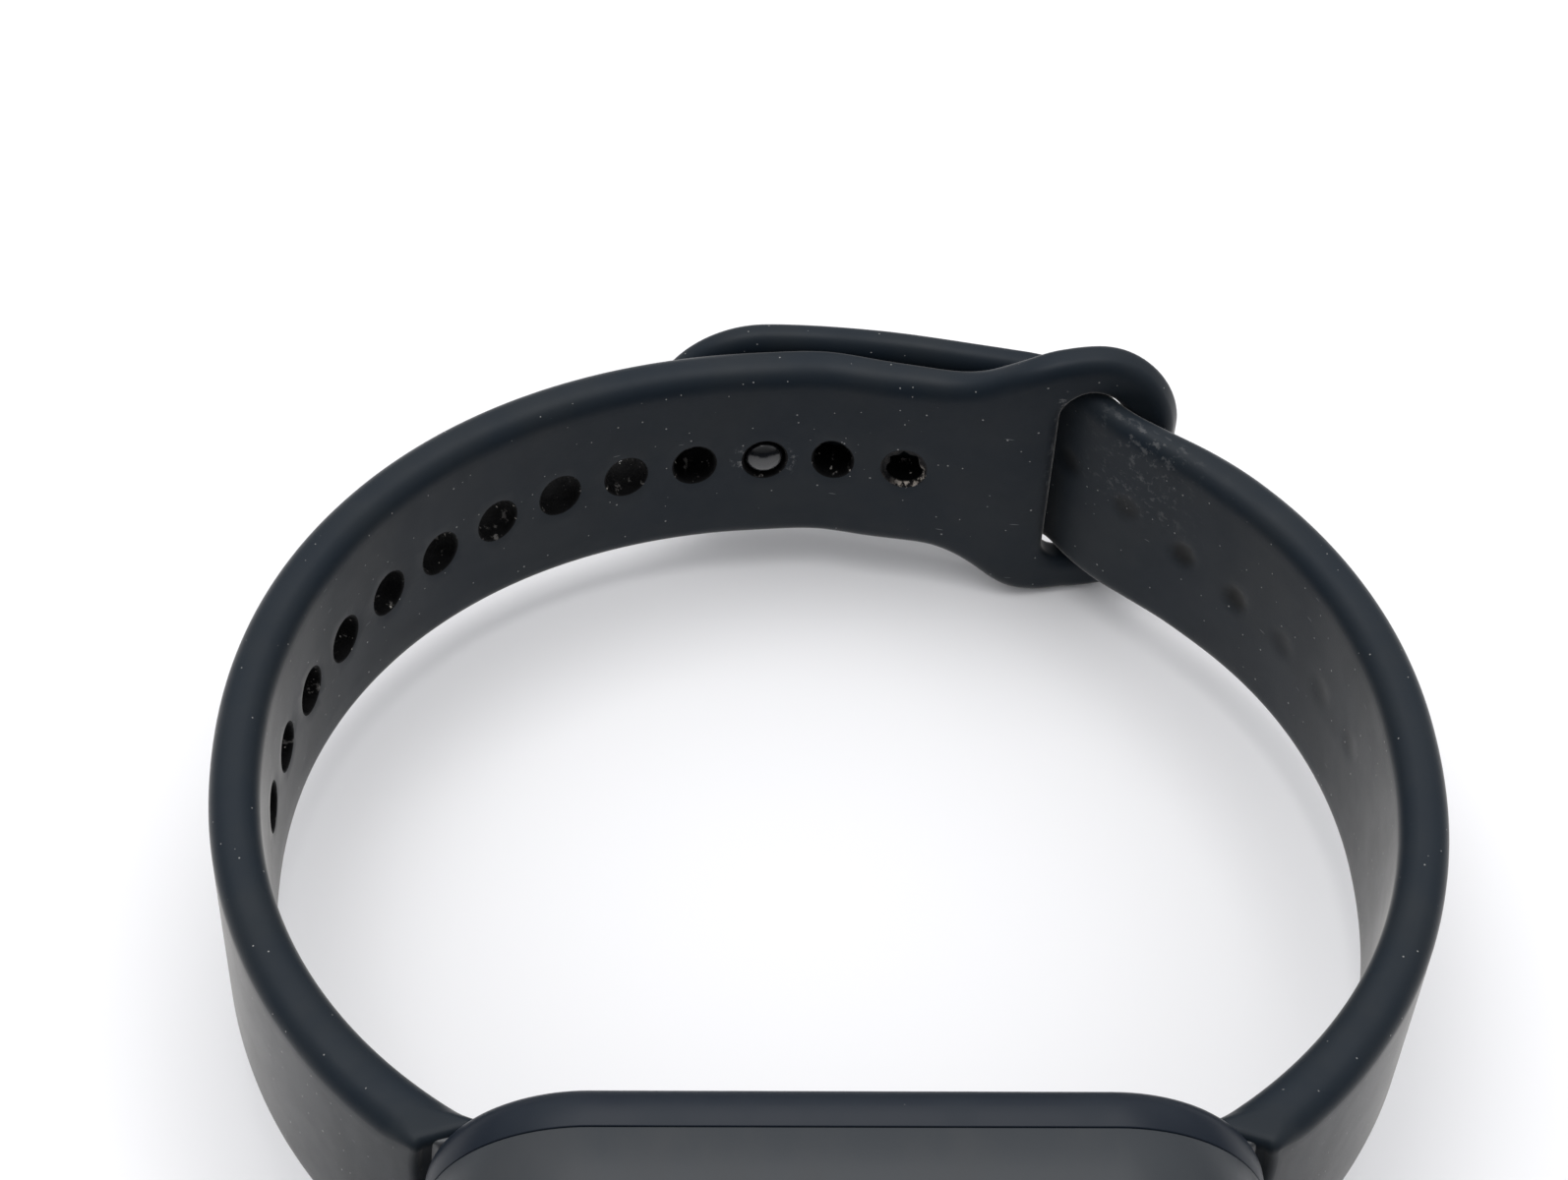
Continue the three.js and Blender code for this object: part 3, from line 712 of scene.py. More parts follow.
def plastic_finish(name, color, roughness, lighter, specular=0.5, coat=0.0):
    """Satin moulded plastic: fine grain, faint handling marks and a few specks of dust."""
    look = Finish(name, color, roughness, specular)
    look.set("Coat Weight", coat)
    look.set("Coat Roughness", 0.25)
    smudge = look.ramp(look.noise(look.stretched((0.3, 0.3, 0.12)), 1.0, 4.0), 0.4, 0.7)
    tone = look.mixed(smudge, look.color, (*lighter, 1))
    dust = look.specks(look.stretched((1, 1, 1)), 0.5, 0.08, 0.3, "3D")
    dusted = look.mixed(look.math("MULTIPLY", dust, 0.45), tone, (0.35, 0.35, 0.34, 1))
    look.link(dusted, "Base Color")
    look.link(look.ramp(smudge, 0, 1, roughness - 0.02, roughness + 0.04), "Roughness")
    look.bump(look.noise(look.stretched((1, 1, 1)), 9.0, 2.0), 0.006, 0.5)
    return look.material


def glass_finish():
    """Black display glass with faint finger marks."""
    look = Finish("screen_glass", (0.0022, 0.0024, 0.003), 0.05, specular=0.5)
    look.set("Coat Weight", 0.6)
    look.set("Coat Roughness", 0.03)
    marks = look.noise(look.stretched((0.12, 0.3, 1), turn=25), 1.0, 5.0, 0.6)
    look.link(look.ramp(marks, 0.45, 0.75, 0.04, 0.16), "Roughness")
    film = look.math("MULTIPLY", look.ramp(marks, 0.5, 0.8), 0.35)
    look.link(look.mixed(film, look.color, (0.012, 0.013, 0.015, 1)), "Base Color")
    return look.material


def lens_finish():
    """Smoked lens over the heart-rate sensor."""
    look = Finish("sensor_lens", (0.06, 0.062, 0.068), 0.04, specular=0.5)
    look.set("Transmission Weight", 0.8)
    look.set("IOR", 1.49)
    grease = look.noise(look.stretched((0.4, 0.4, 1)), 1.0, 4.0)
    look.link(look.ramp(grease, 0.4, 0.75, 0.03, 0.12), "Roughness")
    return look.material


def metal_finish(name, color, roughness, brushed=(1, 1, 1), moulded=False):
    """Bare metal with a drawn or stamped grain and slight tarnish."""
    look = Finish(name, color, roughness, metallic=1.0, moulded=moulded)
    tarnish = look.ramp(look.noise(look.stretched((1, 1, 1)), 0.5, 4.0), 0.4, 0.75)
    darker = (color[0] * 0.72, color[1] * 0.7, color[2] * 0.66, 1)
    look.link(look.mixed(tarnish, look.color, darker), "Base Color")
    grain = look.noise(look.stretched(brushed), 2.0, 3.0)
    look.link(look.ramp(grain, 0.3, 0.7, roughness - 0.06, roughness + 0.1), "Roughness")
    look.bump(grain, 0.004, 0.6)
    return look.material


def board_finish():
    """Solder mask with copper tracks showing through as paler lines."""
    look = Finish("circuit_board", (0.006, 0.04, 0.02), 0.38, specular=0.5, moulded=False)
    grid = look.node("ShaderNodeTexBrick", offset=0.37)
    look.tree.links.new(look.stretched((1, 1, 1)), grid.inputs["Vector"])
    grid.inputs["Scale"].default_value = 1.4
    grid.inputs["Mortar Size"].default_value = 0.06
    tracks = grid.outputs["Fac"]
    look.link(look.mixed(tracks, look.color, (0.02, 0.085, 0.04, 1)), "Base Color")
    look.bump(tracks, 0.02)
    return look.material


def grained_finish(name, color, second, roughness, scale, stretch=(1, 1, 1), metallic=0.0):
    """Two-tone mottled surface with matching relief, for the parts inside the case."""
    look = Finish(name, color, roughness, metallic=metallic, moulded=False)
    cells = look.noise(look.stretched(stretch), scale, 4.0, 0.65)
    spread = look.ramp(cells, 0.4, 0.62)
    look.link(look.mixed(spread, look.color, (*second, 1)), "Base Color")
    look.link(look.ramp(cells, 0.3, 0.7, roughness - 0.05, roughness + 0.1), "Roughness")
    look.bump(cells, 0.03, 0.7)
    return look.material


RUBBER = rubber_finish()
HOLE_WALL = hole_finish()
TORN = torn_finish()
CASE_PLASTIC = plastic_finish(
    "case_plastic", (0.027, 0.031, 0.036), 0.4, (0.033, 0.036, 0.04), 0.25
)
COVER_PLASTIC = plastic_finish(
    "cover_plastic", (0.007, 0.011, 0.0185), 0.38, (0.009, 0.0135, 0.021), 0.18
)
NECK_PLASTIC = plastic_finish("connector_plastic", (0.03, 0.032, 0.036), 0.4, (0.05, 0.052, 0.056))
STUD_PLASTIC = plastic_finish(
    "stud_plastic", (0.004, 0.0045, 0.006), 0.16, (0.008, 0.009, 0.011), 0.6, 0.5
)
GLASS = glass_finish()
LENS = lens_finish()
GOLD = metal_finish("contact_metal", (0.83, 0.62, 0.28), 0.28, moulded=True)
INSIDE_LOOKS = {
    metal_finish("antenna_metal", (0.83, 0.62, 0.28), 0.28, (0.2, 3, 3)): ["antenna"],
    metal_finish("stamped_steel", (0.56, 0.57, 0.58), 0.3, (0.15, 4, 4)): [
        "inner_bracket", "board_screw_1", "board_screw_2", "motor_cup", "motor_lid",
    ],
    metal_finish("rotor_metal", (0.4, 0.39, 0.38), 0.42, (3, 3, 0.2)): ["motor_rotor"],
    board_finish(): ["main_board", "sensor_board"],
    grained_finish("chip_package", (0.012, 0.012, 0.013), (0.022, 0.022, 0.024), 0.5, 4.0): [
        "processor_chip", "power_chip", "motion_sensor_chip", "photodiode",
    ],
    grained_finish("cell_pouch", (0.5, 0.51, 0.52), (0.6, 0.61, 0.62), 0.3, 0.8, (1, 2, 2), 0.9): [
        "battery",
    ],
    grained_finish("flex_circuit", (0.3, 0.13, 0.02), (0.42, 0.2, 0.04), 0.4, 1.5, (0.2, 5, 1)): [
        "display_flex",
    ],
    grained_finish("display_stack", (0.01, 0.011, 0.014), (0.016, 0.017, 0.02), 0.2, 0.7): [
        "display_panel",
    ],
    grained_finish("seal_foam", (0.01, 0.01, 0.01), (0.025, 0.025, 0.025), 0.9, 6.0): [
        "glass_bond", "light_baffle",
    ],
    grained_finish("seal_rubber", (0.012, 0.013, 0.014), (0.02, 0.021, 0.022), 0.65, 3.0): [
        "rear_seal",
    ],
    grained_finish("led_lens", (0.1, 0.45, 0.14), (0.2, 0.62, 0.24), 0.2, 1.2): [
        "led_left", "led_right",
    ],
}


def dress_inside():
    """Gives every CAD node that still shows its own material."""
    for material, nodes in INSIDE_LOOKS.items():
        for node in nodes:
            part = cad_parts[node]
            if not part.material_slots:
                part.data.materials.append(material)
            for slot in part.material_slots:
                slot.material = material


# -------------------- hole strap

LOOP_START = HOLE_ROUTE.distance_at_x(FLARE_START_X)
LOOP_FULL = HOLE_ROUTE.distance_at_x(FLARE_END_X)
SLOT_LEFT = HOLE_ROUTE.distance_at_x(SLOT_LEFT_X)
SLOT_RIGHT = HOLE_ROUTE.distance_at_x(SLOT_RIGHT_X)
ROOT_CORNER = 0.6


def root_corners(half):
    upper = (ROOT_START + ROOT_CORNER, half - ROOT_CORNER)
    lower = (ROOT_START + ROOT_CORNER, ROOT_CORNER - half)
    return arc(upper, ROOT_CORNER, 90, 180, 6) + arc(lower, ROOT_CORNER, 180, 270, 6)


def hole_strap_outline():
    half = STRAP_WIDTH / 2
    wide = LOOP_HALF_WIDTH
    middle = (LOOP_START + LOOP_FULL) / 2
    flare = bezier((LOOP_START, -half), (middle, -half), (middle, -wide), (LOOP_FULL, -wide))
    turn = HOLE_ROUTE.length - LOOP_CORNER
    end = arc((turn, LOOP_CORNER - wide), LOOP_CORNER, -90, 0, 24)
    end += arc((turn, wide - LOOP_CORNER), LOOP_CORNER, 0, 90, 24)
    back = [(s, -across) for s, across in flare[::-1]]
    return resampled(flare + end + back + root_corners(half), 0.35)


def near_root(outline):
    """1 at the strap's root end, easing to 0 further along."""
    return 1 - ease((outline.points[:, 0] - ROOT_START - 0.3) / 2.5)


def broad_face(flat):
    """1 on the strap's two broad faces and 0 round its rims."""
    return 1.0 * (np.abs(flat[:, 2]) > 0.995)


def hole_scuffs(flat):
    """Scuffing along the slot's left rim and its upper corner."""
    s, across, level = flat.T
    rim = np.exp(-(((s - SLOT_LEFT - 0.1) / 0.4) ** 2)) * (across > -1.5) * (across < 8)
    away = np.hypot(s - STUD_DISTANCE, across)
    sideways = np.abs(s - STUD_DISTANCE) > 1.15
    worn = np.exp(-(((away - 1.4) / 0.12) ** 2)) * sideways
    return np.maximum(0.7 * rim * (level < 0.9), worn * (level < -0.8))


def torn_side(flat):
    """Torn rubber shows pale on the far lower side of the last hole."""
    s, across, level = flat.T
    centre = STUD_DISTANCE + HOLES_AFTER_STUD * HOLE_PITCH
    angle = np.arctan2(across, s - centre)
    lower_right = ease((np.cos(angle + 0.9) - 0.35) / 0.5)
    return 0.05 + 0.85 * lower_right * (level < -0.78)


def torn_lip(steps):
    """How far a scalloped lip of skin reaches into a hole, round its rim."""
    angles = np.linspace(0, 2 * math.pi, steps, endpoint=False)
    upper = ease((np.sin(angles) + 0.5) / 0.8)
    scallops = np.abs(np.sin(3.5 * angles + 0.4)) ** 0.7
    return 0.1 + (0.06 + 0.26 * scallops) * upper + RNG.uniform(-0.04, 0.04, steps)


def add_hole(body, centre, half, torn):
    """Punches one hole. Returns its rims on the outer and the inner face."""
    steps = 48
    oval = np.array(circle((0, 0), 1, steps)) * (HOLE_HALF_ALONG, HOLE_HALF_ACROSS)
    hole = Loop(oval + (centre, 0), hole=True)
    rims = strap_profile(0.22, 0.16, half, steps=4)
    top, bottom = rims[3][1], rims[4][1]
    deep = [(RNG.uniform(-0.03, 0.07, steps), level) for level in np.linspace(top, bottom, 9)[1:-1]]
    if not torn:
        return body.wall(hole, rims[:4] + deep + rims[4:], slot=1)
    lip = torn_lip(steps)
    first, _ = body.wall(hole, rims[:4] + deep[:5] + [(0.0, -0.62)], slot=1)
    flap = [(0.0, -0.62), (0.8 * lip, -0.68), (lip, -0.74), (lip * 0.9, -0.8), (0.3 * lip, -0.84)]
    _, last = body.wall(hole, flap + [(0.0, -0.88)] + rims[5:], slot=2)
    return first, last


def make_hole_strap():
    body = Moulding()
    half = STRAP_THICK / 2
    outline = Loop(hole_strap_outline())
    loop = ease((outline.points[:, 0] - LOOP_START) / 8)
    root = near_root(outline)
    outer = OUTER_EDGE + (LOOP_EDGE - OUTER_EDGE) * loop + (ROOT_EDGE - OUTER_EDGE) * root
    inner = INNER_EDGE + (LOOP_EDGE - INNER_EDGE) * loop + (ROOT_EDGE - INNER_EDGE) * root
    outer_ring, inner_ring = body.wall(outline, strap_profile(outer, inner, half))
    low, high = (SLOT_LEFT, -SLOT_HALF_HEIGHT), (SLOT_RIGHT, SLOT_HALF_HEIGHT)
    slot = Loop(resampled(rounded_rect(low, high, [2.6, 1.8, 1.8, 2.6]), 0.3), hole=True)
    first, last = body.wall(slot, strap_profile(SLOT_EDGE, SLOT_EDGE, half))
    outer_holes, inner_holes = [first], [last]
    for count in range(-HOLES_BEFORE_STUD, HOLES_AFTER_STUD + 1):
        centre = STUD_DISTANCE + count * HOLE_PITCH
        first, last = add_hole(body, centre, half, count == HOLES_AFTER_STUD)
        outer_holes.append(first)
        inner_holes.append(last)
    body.patch(outer_ring, outer_holes, spacing=0.8)
    body.patch(inner_ring, inner_holes, spacing=0.8)
    place = fitted_root(HOLE_ROUTE, hole_thickness, ROOT_GAP)
    marks = {"face": broad_face, "scuff": hole_scuffs, "torn": torn_side}
    piece = body.build("hole_strap_body", [RUBBER, HOLE_WALL, TORN], place, marks=marks)
    return finish(piece, "band", "strap_rubber", "hole_strap")


# -------------------- tail strap and flap

# Marks that the stud and the holes have pressed into the tail: steps of the hole pitch from
# the first, distance across, and depth
FIRST_DIMPLE = TAIL_ROUTE.distance_at_x(25.0) - 2.2
DIMPLES = [
    (-3, 0.2, 0.25), (-2, 0.0, 0.3), (-1, -0.2, 0.4), (0, -0.3, 1.0), (1, 0.1, 1.0),
    (2, 1.1, 0.7), (3, 1.4, 0.6),
]
DIMPLE_RADIUS = 1.25
DIMPLE_DEPTH = 0.2
SEAT_RADIUS = 3.62
SEAT_DEPTH = 0.55
BORE_RADIUS = 0.8


def dimple_depth(flat):
    """How strongly each point of the tail's inner face is pressed in, from 0 to 1. It also masks the
    painted shade in the dimples.
    """
    s, across, level = flat.T
    pressed = np.zeros(len(s))
    for step, offset, strength in DIMPLES:
        away = np.hypot(s - FIRST_DIMPLE - step * HOLE_PITCH, across - offset) / DIMPLE_RADIUS
        pressed = np.maximum(pressed, strength * (1 - ease((away - 0.35) / 0.65)))
    return pressed * (level < -0.9)


def with_dimples(flat):
    shaped = flat.copy()
    shaped[:, 2] += dimple_depth(flat) * DIMPLE_DEPTH / (STRAP_THICK / 2)
    return shaped


def tail_bounce_smears(flat):
    """Pale streaks low on the inside of the right flank: painted reflection of the table's bounce
    light, streaked like a rubbed film.
    """
    s, across, level = flat.T
    along = np.exp(-(((s - 24) / 14) ** 2))
    return 0.9 * along * ease((1.5 - across) / 6) * (level < 0)


def tail_scuffs(flat):
    s, across, level = flat.T
    return 0.22 * np.exp(-(((s - PEEL_DISTANCE + 9.5) / 3) ** 2)) * (across > 1) * (level < 0)


def make_tail_strap():
    body = Moulding()
    half = STRAP_THICK / 2
    edge = STRAP_WIDTH / 2
    stud = TAIL_ROUTE.distance_at_x(STUD_X)
    outline = Loop(resampled(arc((stud, 0), edge, -90, 90, 60) + root_corners(edge), 0.35))
    root = near_root(outline)
    outer = OUTER_EDGE + (ROOT_EDGE - OUTER_EDGE) * root
    inner = INNER_EDGE - 0.1 + (ROOT_EDGE - INNER_EDGE + 0.1) * root
    first, last = body.wall(outline, strap_profile(outer, inner, half))
    floor_level = 1 - SEAT_DEPTH / (FLAP_THICK / 2)
    seat = Loop(circle((stud, 0), SEAT_RADIUS, 64), hole=True)
    rim = [(-0.15, 1), (-0.05, 0.96), (0, 0.88), (0, floor_level + 0.1), (0.08, floor_level)]
    seat_rim, seat_floor = body.wall(seat, rim)
    bore = Loop(circle((stud, 0), BORE_RADIUS, 24), hole=True)
    bore_high, bore_low = body.wall(bore, [(0, floor_level), (0, -0.9), (-0.1, -1)])
    body.patch(first, [seat_rim], spacing=0.8)
    body.patch(seat_floor, [bore_high], spacing=0.8)
    body.patch(last, [bore_low], spacing=0.42)
    place = fitted_root(TAIL_ROUTE, tail_thickness, ROOT_GAP)
    # The dimple mark paints shade into the pressed dimples, and the smear mark paints the table's
    # bounce light low on the right flank.
    marks = {
        "face": broad_face, "dimple_shade": dimple_depth, "bounce_smear": tail_bounce_smears, "scuff": tail_scuffs,
    }
    piece = body.build("tail_strap_body", [RUBBER], place, shape=with_dimples, marks=marks)
    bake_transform(piece)
    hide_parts("tail_strap", "tail_flap")
    return piece


# -------------------- stud


def stud_place(flat):
    """Maps a piece drawn about the stud's axis onto the hole strap, level outward."""
    along, across, level = flat.T
    x, y, turn = HOLE_ROUTE.at(STUD_DISTANCE)
    out_x, out_y = HOLE_ROUTE.out(turn)
    ahead_x, ahead_y = math.cos(turn), math.sin(turn)
    return np.column_stack([
        x + along * ahead_x + level * out_x,
        y + along * ahead_y + level * out_y,
        MID_Z + across,
    ])


def turned(profile, steps=56, centre=(0.0, 0.0)):
    """Round solid from a profile of (radius, level), closed by a flat or domed middle."""
    side = [(radius - 1.0, level) for radius, level in profile]
    return solid(circle(centre, 1.0, steps), side, 0.5)


def quarter(reach, low, high, start, end, steps):
    """Elliptic arc of (radius, level): reach is its widest, low its apex, high its foot."""
    points = []
    for angle in np.radians(np.linspace(start, end, steps)):
        points.append((reach * math.sin(angle), high + (low - high) * math.cos(angle)))
    return points


def make_stud():
    dome = quarter(1.22, -1.78, -0.95, 4, 90, 16)
    neck = [(1.2, -0.8), (1.05, -0.65), (0.8, -0.45), (0.7, -0.2), (0.7, CAP_LOW - 0.02)]
    pin = turned(dome + neck).build("stud_pin_body", [STUD_PLASTIC], stud_place)
    finish(pin, "flap", "stud_plastic", "stud_pin")
    low, high, r = CAP_LOW, CAP_LOW + 0.7, CAP_RADIUS
    side = [(r - 0.2, low), (r - 0.06, low + 0.04), (r, low + 0.16), (r, high - 0.4)]
    shoulder = [(r - 0.4 + 0.4 * math.cos(a), high - 0.4 + 0.4 * math.sin(a))
                for a in np.linspace(0.15, math.pi / 2, 9)]
    dish = [(r - 0.7, high - 0.01), (r - 0.95, high - 0.06), (r - 1.3, high - 0.12), (0.9, high - 0.16)]
    cap = turned(side + shoulder + dish).build("stud_cap_body", [STUD_PLASTIC], stud_place)
    finish(cap, "flap", "stud_plastic", "stud_cap")


# -------------------- connectors


def make_connector(name, node, route, thickness, side):
    """Hard neck moulded into a strap's root, with a tab that hooks into the case."""
    low, high = (ROOT_START, -NECK_HALF_WIDTH), (ROOT_START + NECK_LENGTH, NECK_HALF_WIDTH)
    edges = resampled(rounded_rect(low, high, [1.5, 0.5, 0.5, 1.5]), 0.3)
    half = NECK_THICK / 2
    neck = solid(edges, shell_profile(-half, half, 0.25, 0.25), 0.8)

    def thin(flat):
        """Turns levels in millimetres into the half thicknesses that the route takes."""
        shaped = flat.copy()
        shaped[:, 2] /= ROOT_THICK / 2
        return shaped

    place = fitted_root(route, thickness, NECK_GAP)
    piece = neck.build(name, [NECK_PLASTIC], place, shape=thin)
    plate = centred_rect(TAB_THICK, TAB_WIDTH, 0.25, centre=(side * HOOK_X, 0), steps=5)
    tab = solid(plate, shell_profile(-1.1, HOOK_DEPTH, 0.1, 0.2), 0.4)
    hook = tab.build(name + "_tab", [NECK_PLASTIC], module_place)
    finish(piece, "band", "connector_plastic", node)
    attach(hook, "band")


# -------------------- tracker module


def hook_slots():
    length, width = TAB_THICK + 2 * TAB_END_GAP, TAB_WIDTH + 2 * TAB_SIDE_GAP
    return [centred_rect(length, width, 0.3, (side * HOOK_X, 0), steps=5) for side in (-1, 1)]


def case_rect(offset=0.0, steps=28):
    return offset_rect(CASE_LENGTH, CASE_WIDTH, CASE_CORNER, offset, steps)


def cavity_rect(offset=0.0):
    return offset_rect(CAVITY_LENGTH, CAVITY_WIDTH, CAVITY_CORNER, offset)


def window_rect(offset=0.0, steps=14):
    return offset_rect(WINDOW_LENGTH, WINDOW_WIDTH, WINDOW_CORNER, offset, steps)


def make_rear_cover():
    body = Moulding()
    top = SEAM_LEVEL - SEAM_HALF
    side = edge_arc(REAR_EDGE, 0, -1, 12) + [(0, top - 0.06), (-0.02, top - 0.02), (-0.06, top)]
    rear, rim = body.wall(Loop(case_rect()), side)
    window = Loop(window_rect(WINDOW_GAP), hole=True)
    window_low, window_high = body.wall(window, [(-0.12, 0), (0, 0.12), (0, COVER_FLOOR)])
    low_rims, floor_rims, seam_rims = [window_low], [window_high], []
    for x in (-CONTACT_X, CONTACT_X):
        hole = Loop(circle((x, 0), CONTACT_RADIUS + 0.2, 32), hole=True)
        low, high = body.wall(hole, [(-0.08, 0), (0, 0.08), (0, COVER_FLOOR)])
        low_rims.append(low)
        floor_rims.append(high)
    for outline in hook_slots():
        low, high = body.wall(Loop(outline, hole=True), [(-0.04, 0), (0, 0.05), (0, top)])
        low_rims.append(low)
        seam_rims.append(high)
    cavity = Loop(cavity_rect(), hole=True)
    cavity_rim, cavity_floor = body.wall(cavity, [(0, top), (0, COVER_FLOOR)])
    body.patch(rear, low_rims, spacing=1.2)
    body.patch(rim, [cavity_rim, *seam_rims], spacing=1.2)
    body.patch(cavity_floor, floor_rims, spacing=1.5)
    piece = body.build("rear_cover_body", [COVER_PLASTIC], module_place)
    finish(piece, "tracker", "cover_plastic", "rear_cover")


def make_case_frame():
    body = Moulding()
    low = SEAM_LEVEL + SEAM_HALF
    high = GLASS_LEVEL - 0.1
    side = [(-0.06, low), (-0.02, low + 0.02), (0, low + 0.06), (0, 5.0), (0, high - 0.25)]
    side += [(-0.05, high - 0.1), (-0.16, high - 0.02), (-0.3, high)]
    seam_rim, glass_rim = body.wall(Loop(case_rect()), side)
    step = high - 0.65
    rebate = Loop(cavity_rect(0.65), hole=True)
    rebate_rim, rebate_floor = body.wall(rebate, [(0, high), (0, step)])
    cavity = Loop(cavity_rect(), hole=True)
    cavity_high, cavity_low = body.wall(cavity, [(0, step), (0, low)])
    pockets = []
    for outline in hook_slots():
        mouth, end = body.wall(Loop(outline, hole=True), [(0, low), (0, HOOK_DEPTH + 0.3)])
        pockets.append(mouth)
        body.patch(end, spacing=0.6)
    body.patch(seam_rim, [cavity_low, *pockets], spacing=1.2)
    body.patch(glass_rim, [rebate_rim], spacing=1.2)
    body.patch(rebate_floor, [cavity_high], spacing=1.2)
    piece = body.build("case_frame_body", [CASE_PLASTIC], module_place)
    finish(piece, "tracker", "case_plastic", "case_frame")


def make_front_glass():
    low = GLASS_LEVEL + 0.05
    side = [(-0.15, low), (-0.04, low + 0.04), (0, low + 0.15), (0, CASE_DEPTH - 0.8)]
    for angle in np.linspace(0, math.pi / 2, 12)[1:]:
        side.append((1.3 * (math.cos(angle) - 1), CASE_DEPTH - 0.8 + 0.8 * math.sin(angle)))
    body = solid(case_rect(-0.3), side, 1.5)
    piece = body.build("front_glass_body", [GLASS], module_place)
    finish(piece, "tracker", "screen_glass", "front_glass")


def make_sensor():
    dome = [(-1.6, -0.6), (-1.1, -0.585), (-0.7, -0.53), (-0.35, -0.42), (-0.12, -0.26)]
    side = dome + [(0, -0.05), (0, COVER_FLOOR - 0.08), (-0.08, COVER_FLOOR)]
    body = solid(window_rect(steps=24), side, 1.2)
    piece = body.build("sensor_window_body", [LENS], module_place)
    finish(piece, "tracker", "sensor_lens", "sensor_window")
    for side_name, x in (("left", -CONTACT_X), ("right", CONTACT_X)):
        r = CONTACT_RADIUS
        profile = [(r - 0.12, 0.02), (r - 0.03, 0.06), (r, 0.14), (r, 1.3)]
        profile += [(r + 0.45, 1.32), (r + 0.5, 1.37), (r + 0.5, 1.75), (r + 0.45, 1.8)]
        pin = turned(profile, 40, (x, 0.0)).build(f"contact_{side_name}", [GOLD], module_place)
        finish(pin, "tracker", "contact_metal", f"charge_contact_{side_name}")


make_hole_strap()
make_tail_strap()
make_stud()
make_connector("left_connector_body", "left_connector", HOLE_ROUTE, hole_thickness, -1)
make_connector("right_connector_body", "right_connector", TAIL_ROUTE, tail_thickness, 1)
make_rear_cover()
make_case_frame()
make_front_glass()
make_sensor()
dress_inside()


# -------------------- camera, light and floor

CAMERA_PLACE = Vector((-10.525, -114.581, 165.712)) * MM
CAMERA_PITCH = math.radians(48.883)
CAMERA_YAW = math.radians(3.665)
CAMERA_ROLL = math.radians(-3.285)
CAMERA_LENS = 77.3
FLOOR_TILT = 2.7 / 54.3
FLOOR_TOUCH_Y = -25.8


def make_camera():
    ahead = Vector((
        math.sin(CAMERA_YAW) * math.cos(CAMERA_PITCH),
        math.cos(CAMERA_YAW) * math.cos(CAMERA_PITCH),
        -math.sin(CAMERA_PITCH),
    ))
    level_right = Vector((math.cos(CAMERA_YAW), -math.sin(CAMERA_YAW), 0))
    level_down = ahead.cross(level_right)
    right = math.cos(CAMERA_ROLL) * level_right + math.sin(CAMERA_ROLL) * level_down
    down = math.cos(CAMERA_ROLL) * level_down - math.sin(CAMERA_ROLL) * level_right
    turn = Matrix((right, -down, -ahead)).transposed().to_4x4()
    data = bpy.data.cameras.new("camera")
    data.lens = CAMERA_LENS
    data.sensor_width = 36
    data.clip_start = 0.01
    camera = bpy.data.objects.new("camera", data)
    camera.matrix_world = Matrix.Translation(CAMERA_PLACE) @ turn
    bpy.context.scene.collection.objects.link(camera)
    bpy.context.scene.camera = camera


def make_floor():
    mesh = bpy.data.meshes.new("floor")
    reach = 3.0
    corners = []
    for x, y in ((-reach, -reach), (reach, -reach), (reach, reach), (-reach, reach)):
        corners.append((x, y, (y - FLOOR_TOUCH_Y * MM) * FLOOR_TILT))
    mesh.from_pydata(corners, [], [(0, 1, 2, 3)])
    table = Finish("table", (0.86, 0.855, 0.865), 0.55, specular=0.3, moulded=False)
    mesh.materials.append(table.material)
    floor = bpy.data.objects.new("floor", mesh)
    bpy.context.scene.collection.objects.link(floor)


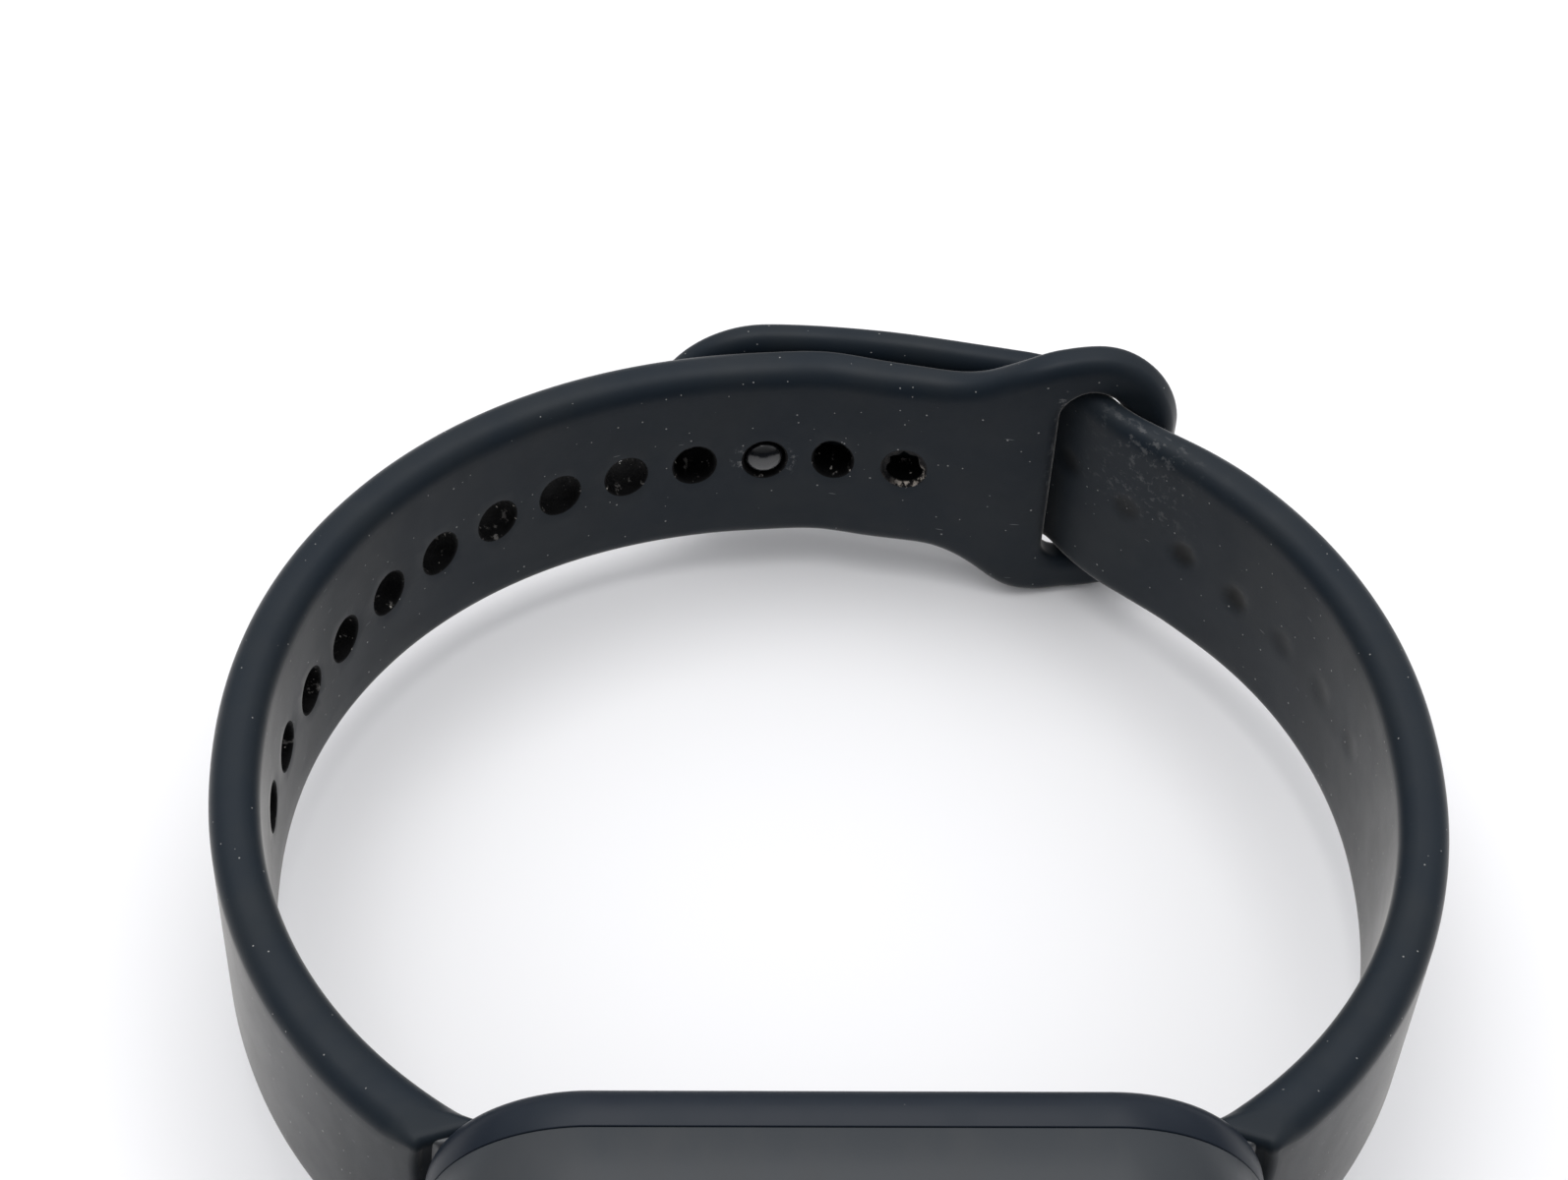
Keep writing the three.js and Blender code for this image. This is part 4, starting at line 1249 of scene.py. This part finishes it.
def area_light(name, place, aim, size, power):
    data = bpy.data.lights.new(name, "AREA")
    data.shape = "RECTANGLE"
    data.size, data.size_y = size
    data.energy = power
    light = bpy.data.objects.new(name, data)
    light.location = place
    light.rotation_mode = "QUATERNION"
    light.rotation_quaternion = (Vector(aim) - Vector(place)).to_track_quat("-Z", "Y")
    bpy.context.scene.collection.objects.link(light)


# The dome's brightness near the horizon and overhead, and how much the side towards the
# camera is held back
HORIZON_LIGHT = 0.1
OVERHEAD_LIGHT = 1.15
BEHIND_LIGHT = 0.75
DOME_STRENGTH = 0.82
OVERHEAD_PLACE = (-0.05, 0.1, 0.8)
OVERHEAD_SIZE = (0.7, 0.6)
OVERHEAD_POWER = 4.0


def make_light():
    world = bpy.data.worlds.new("studio")
    world.use_nodes = True
    tree = world.node_tree
    tree.nodes.clear()

    def node(kind, *inputs, **settings):
        return add_node(tree, kind, inputs, settings)

    direction = node("ShaderNodeTexCoord").outputs["Generated"]
    axes = node("ShaderNodeSeparateXYZ", direction)
    rise, across = axes.outputs["Z"], axes.outputs["Y"]
    height = node("ShaderNodeMapRange", rise, 0.02, 0.62, HORIZON_LIGHT, OVERHEAD_LIGHT)
    height.interpolation_type = "SMOOTHSTEP"
    near, far = 1 - BEHIND_LIGHT, 1 + 0.5 * BEHIND_LIGHT
    behind = node("ShaderNodeMapRange", across, -0.7, 0.6, near, far)
    diffuse = node("ShaderNodeLightPath").outputs["Is Diffuse Ray"]
    lean = node("ShaderNodeMix", diffuse, None, behind.outputs[0], 1.0)
    level = node("ShaderNodeMath", height.outputs[0], lean.outputs[0], operation="MULTIPLY")
    strength = node("ShaderNodeMath", level.outputs[0], DOME_STRENGTH, operation="MULTIPLY")
    dome = node("ShaderNodeBackground", (0.97, 0.98, 1, 1), strength.outputs[0])
    paper = node("ShaderNodeBackground", (0.93, 0.93, 0.935, 1), 1.0)
    seen = node("ShaderNodeLightPath").outputs["Is Camera Ray"]
    mixed = node("ShaderNodeMixShader", seen, dome.outputs[0], paper.outputs[0])
    node("ShaderNodeOutputWorld", mixed.outputs[0])
    bpy.context.scene.world = world
    area_light("overhead", OVERHEAD_PLACE, (0, 0, 0), OVERHEAD_SIZE, OVERHEAD_POWER)
    bpy.context.scene.view_settings.view_transform = "Standard"


make_camera()
make_floor()
make_light()
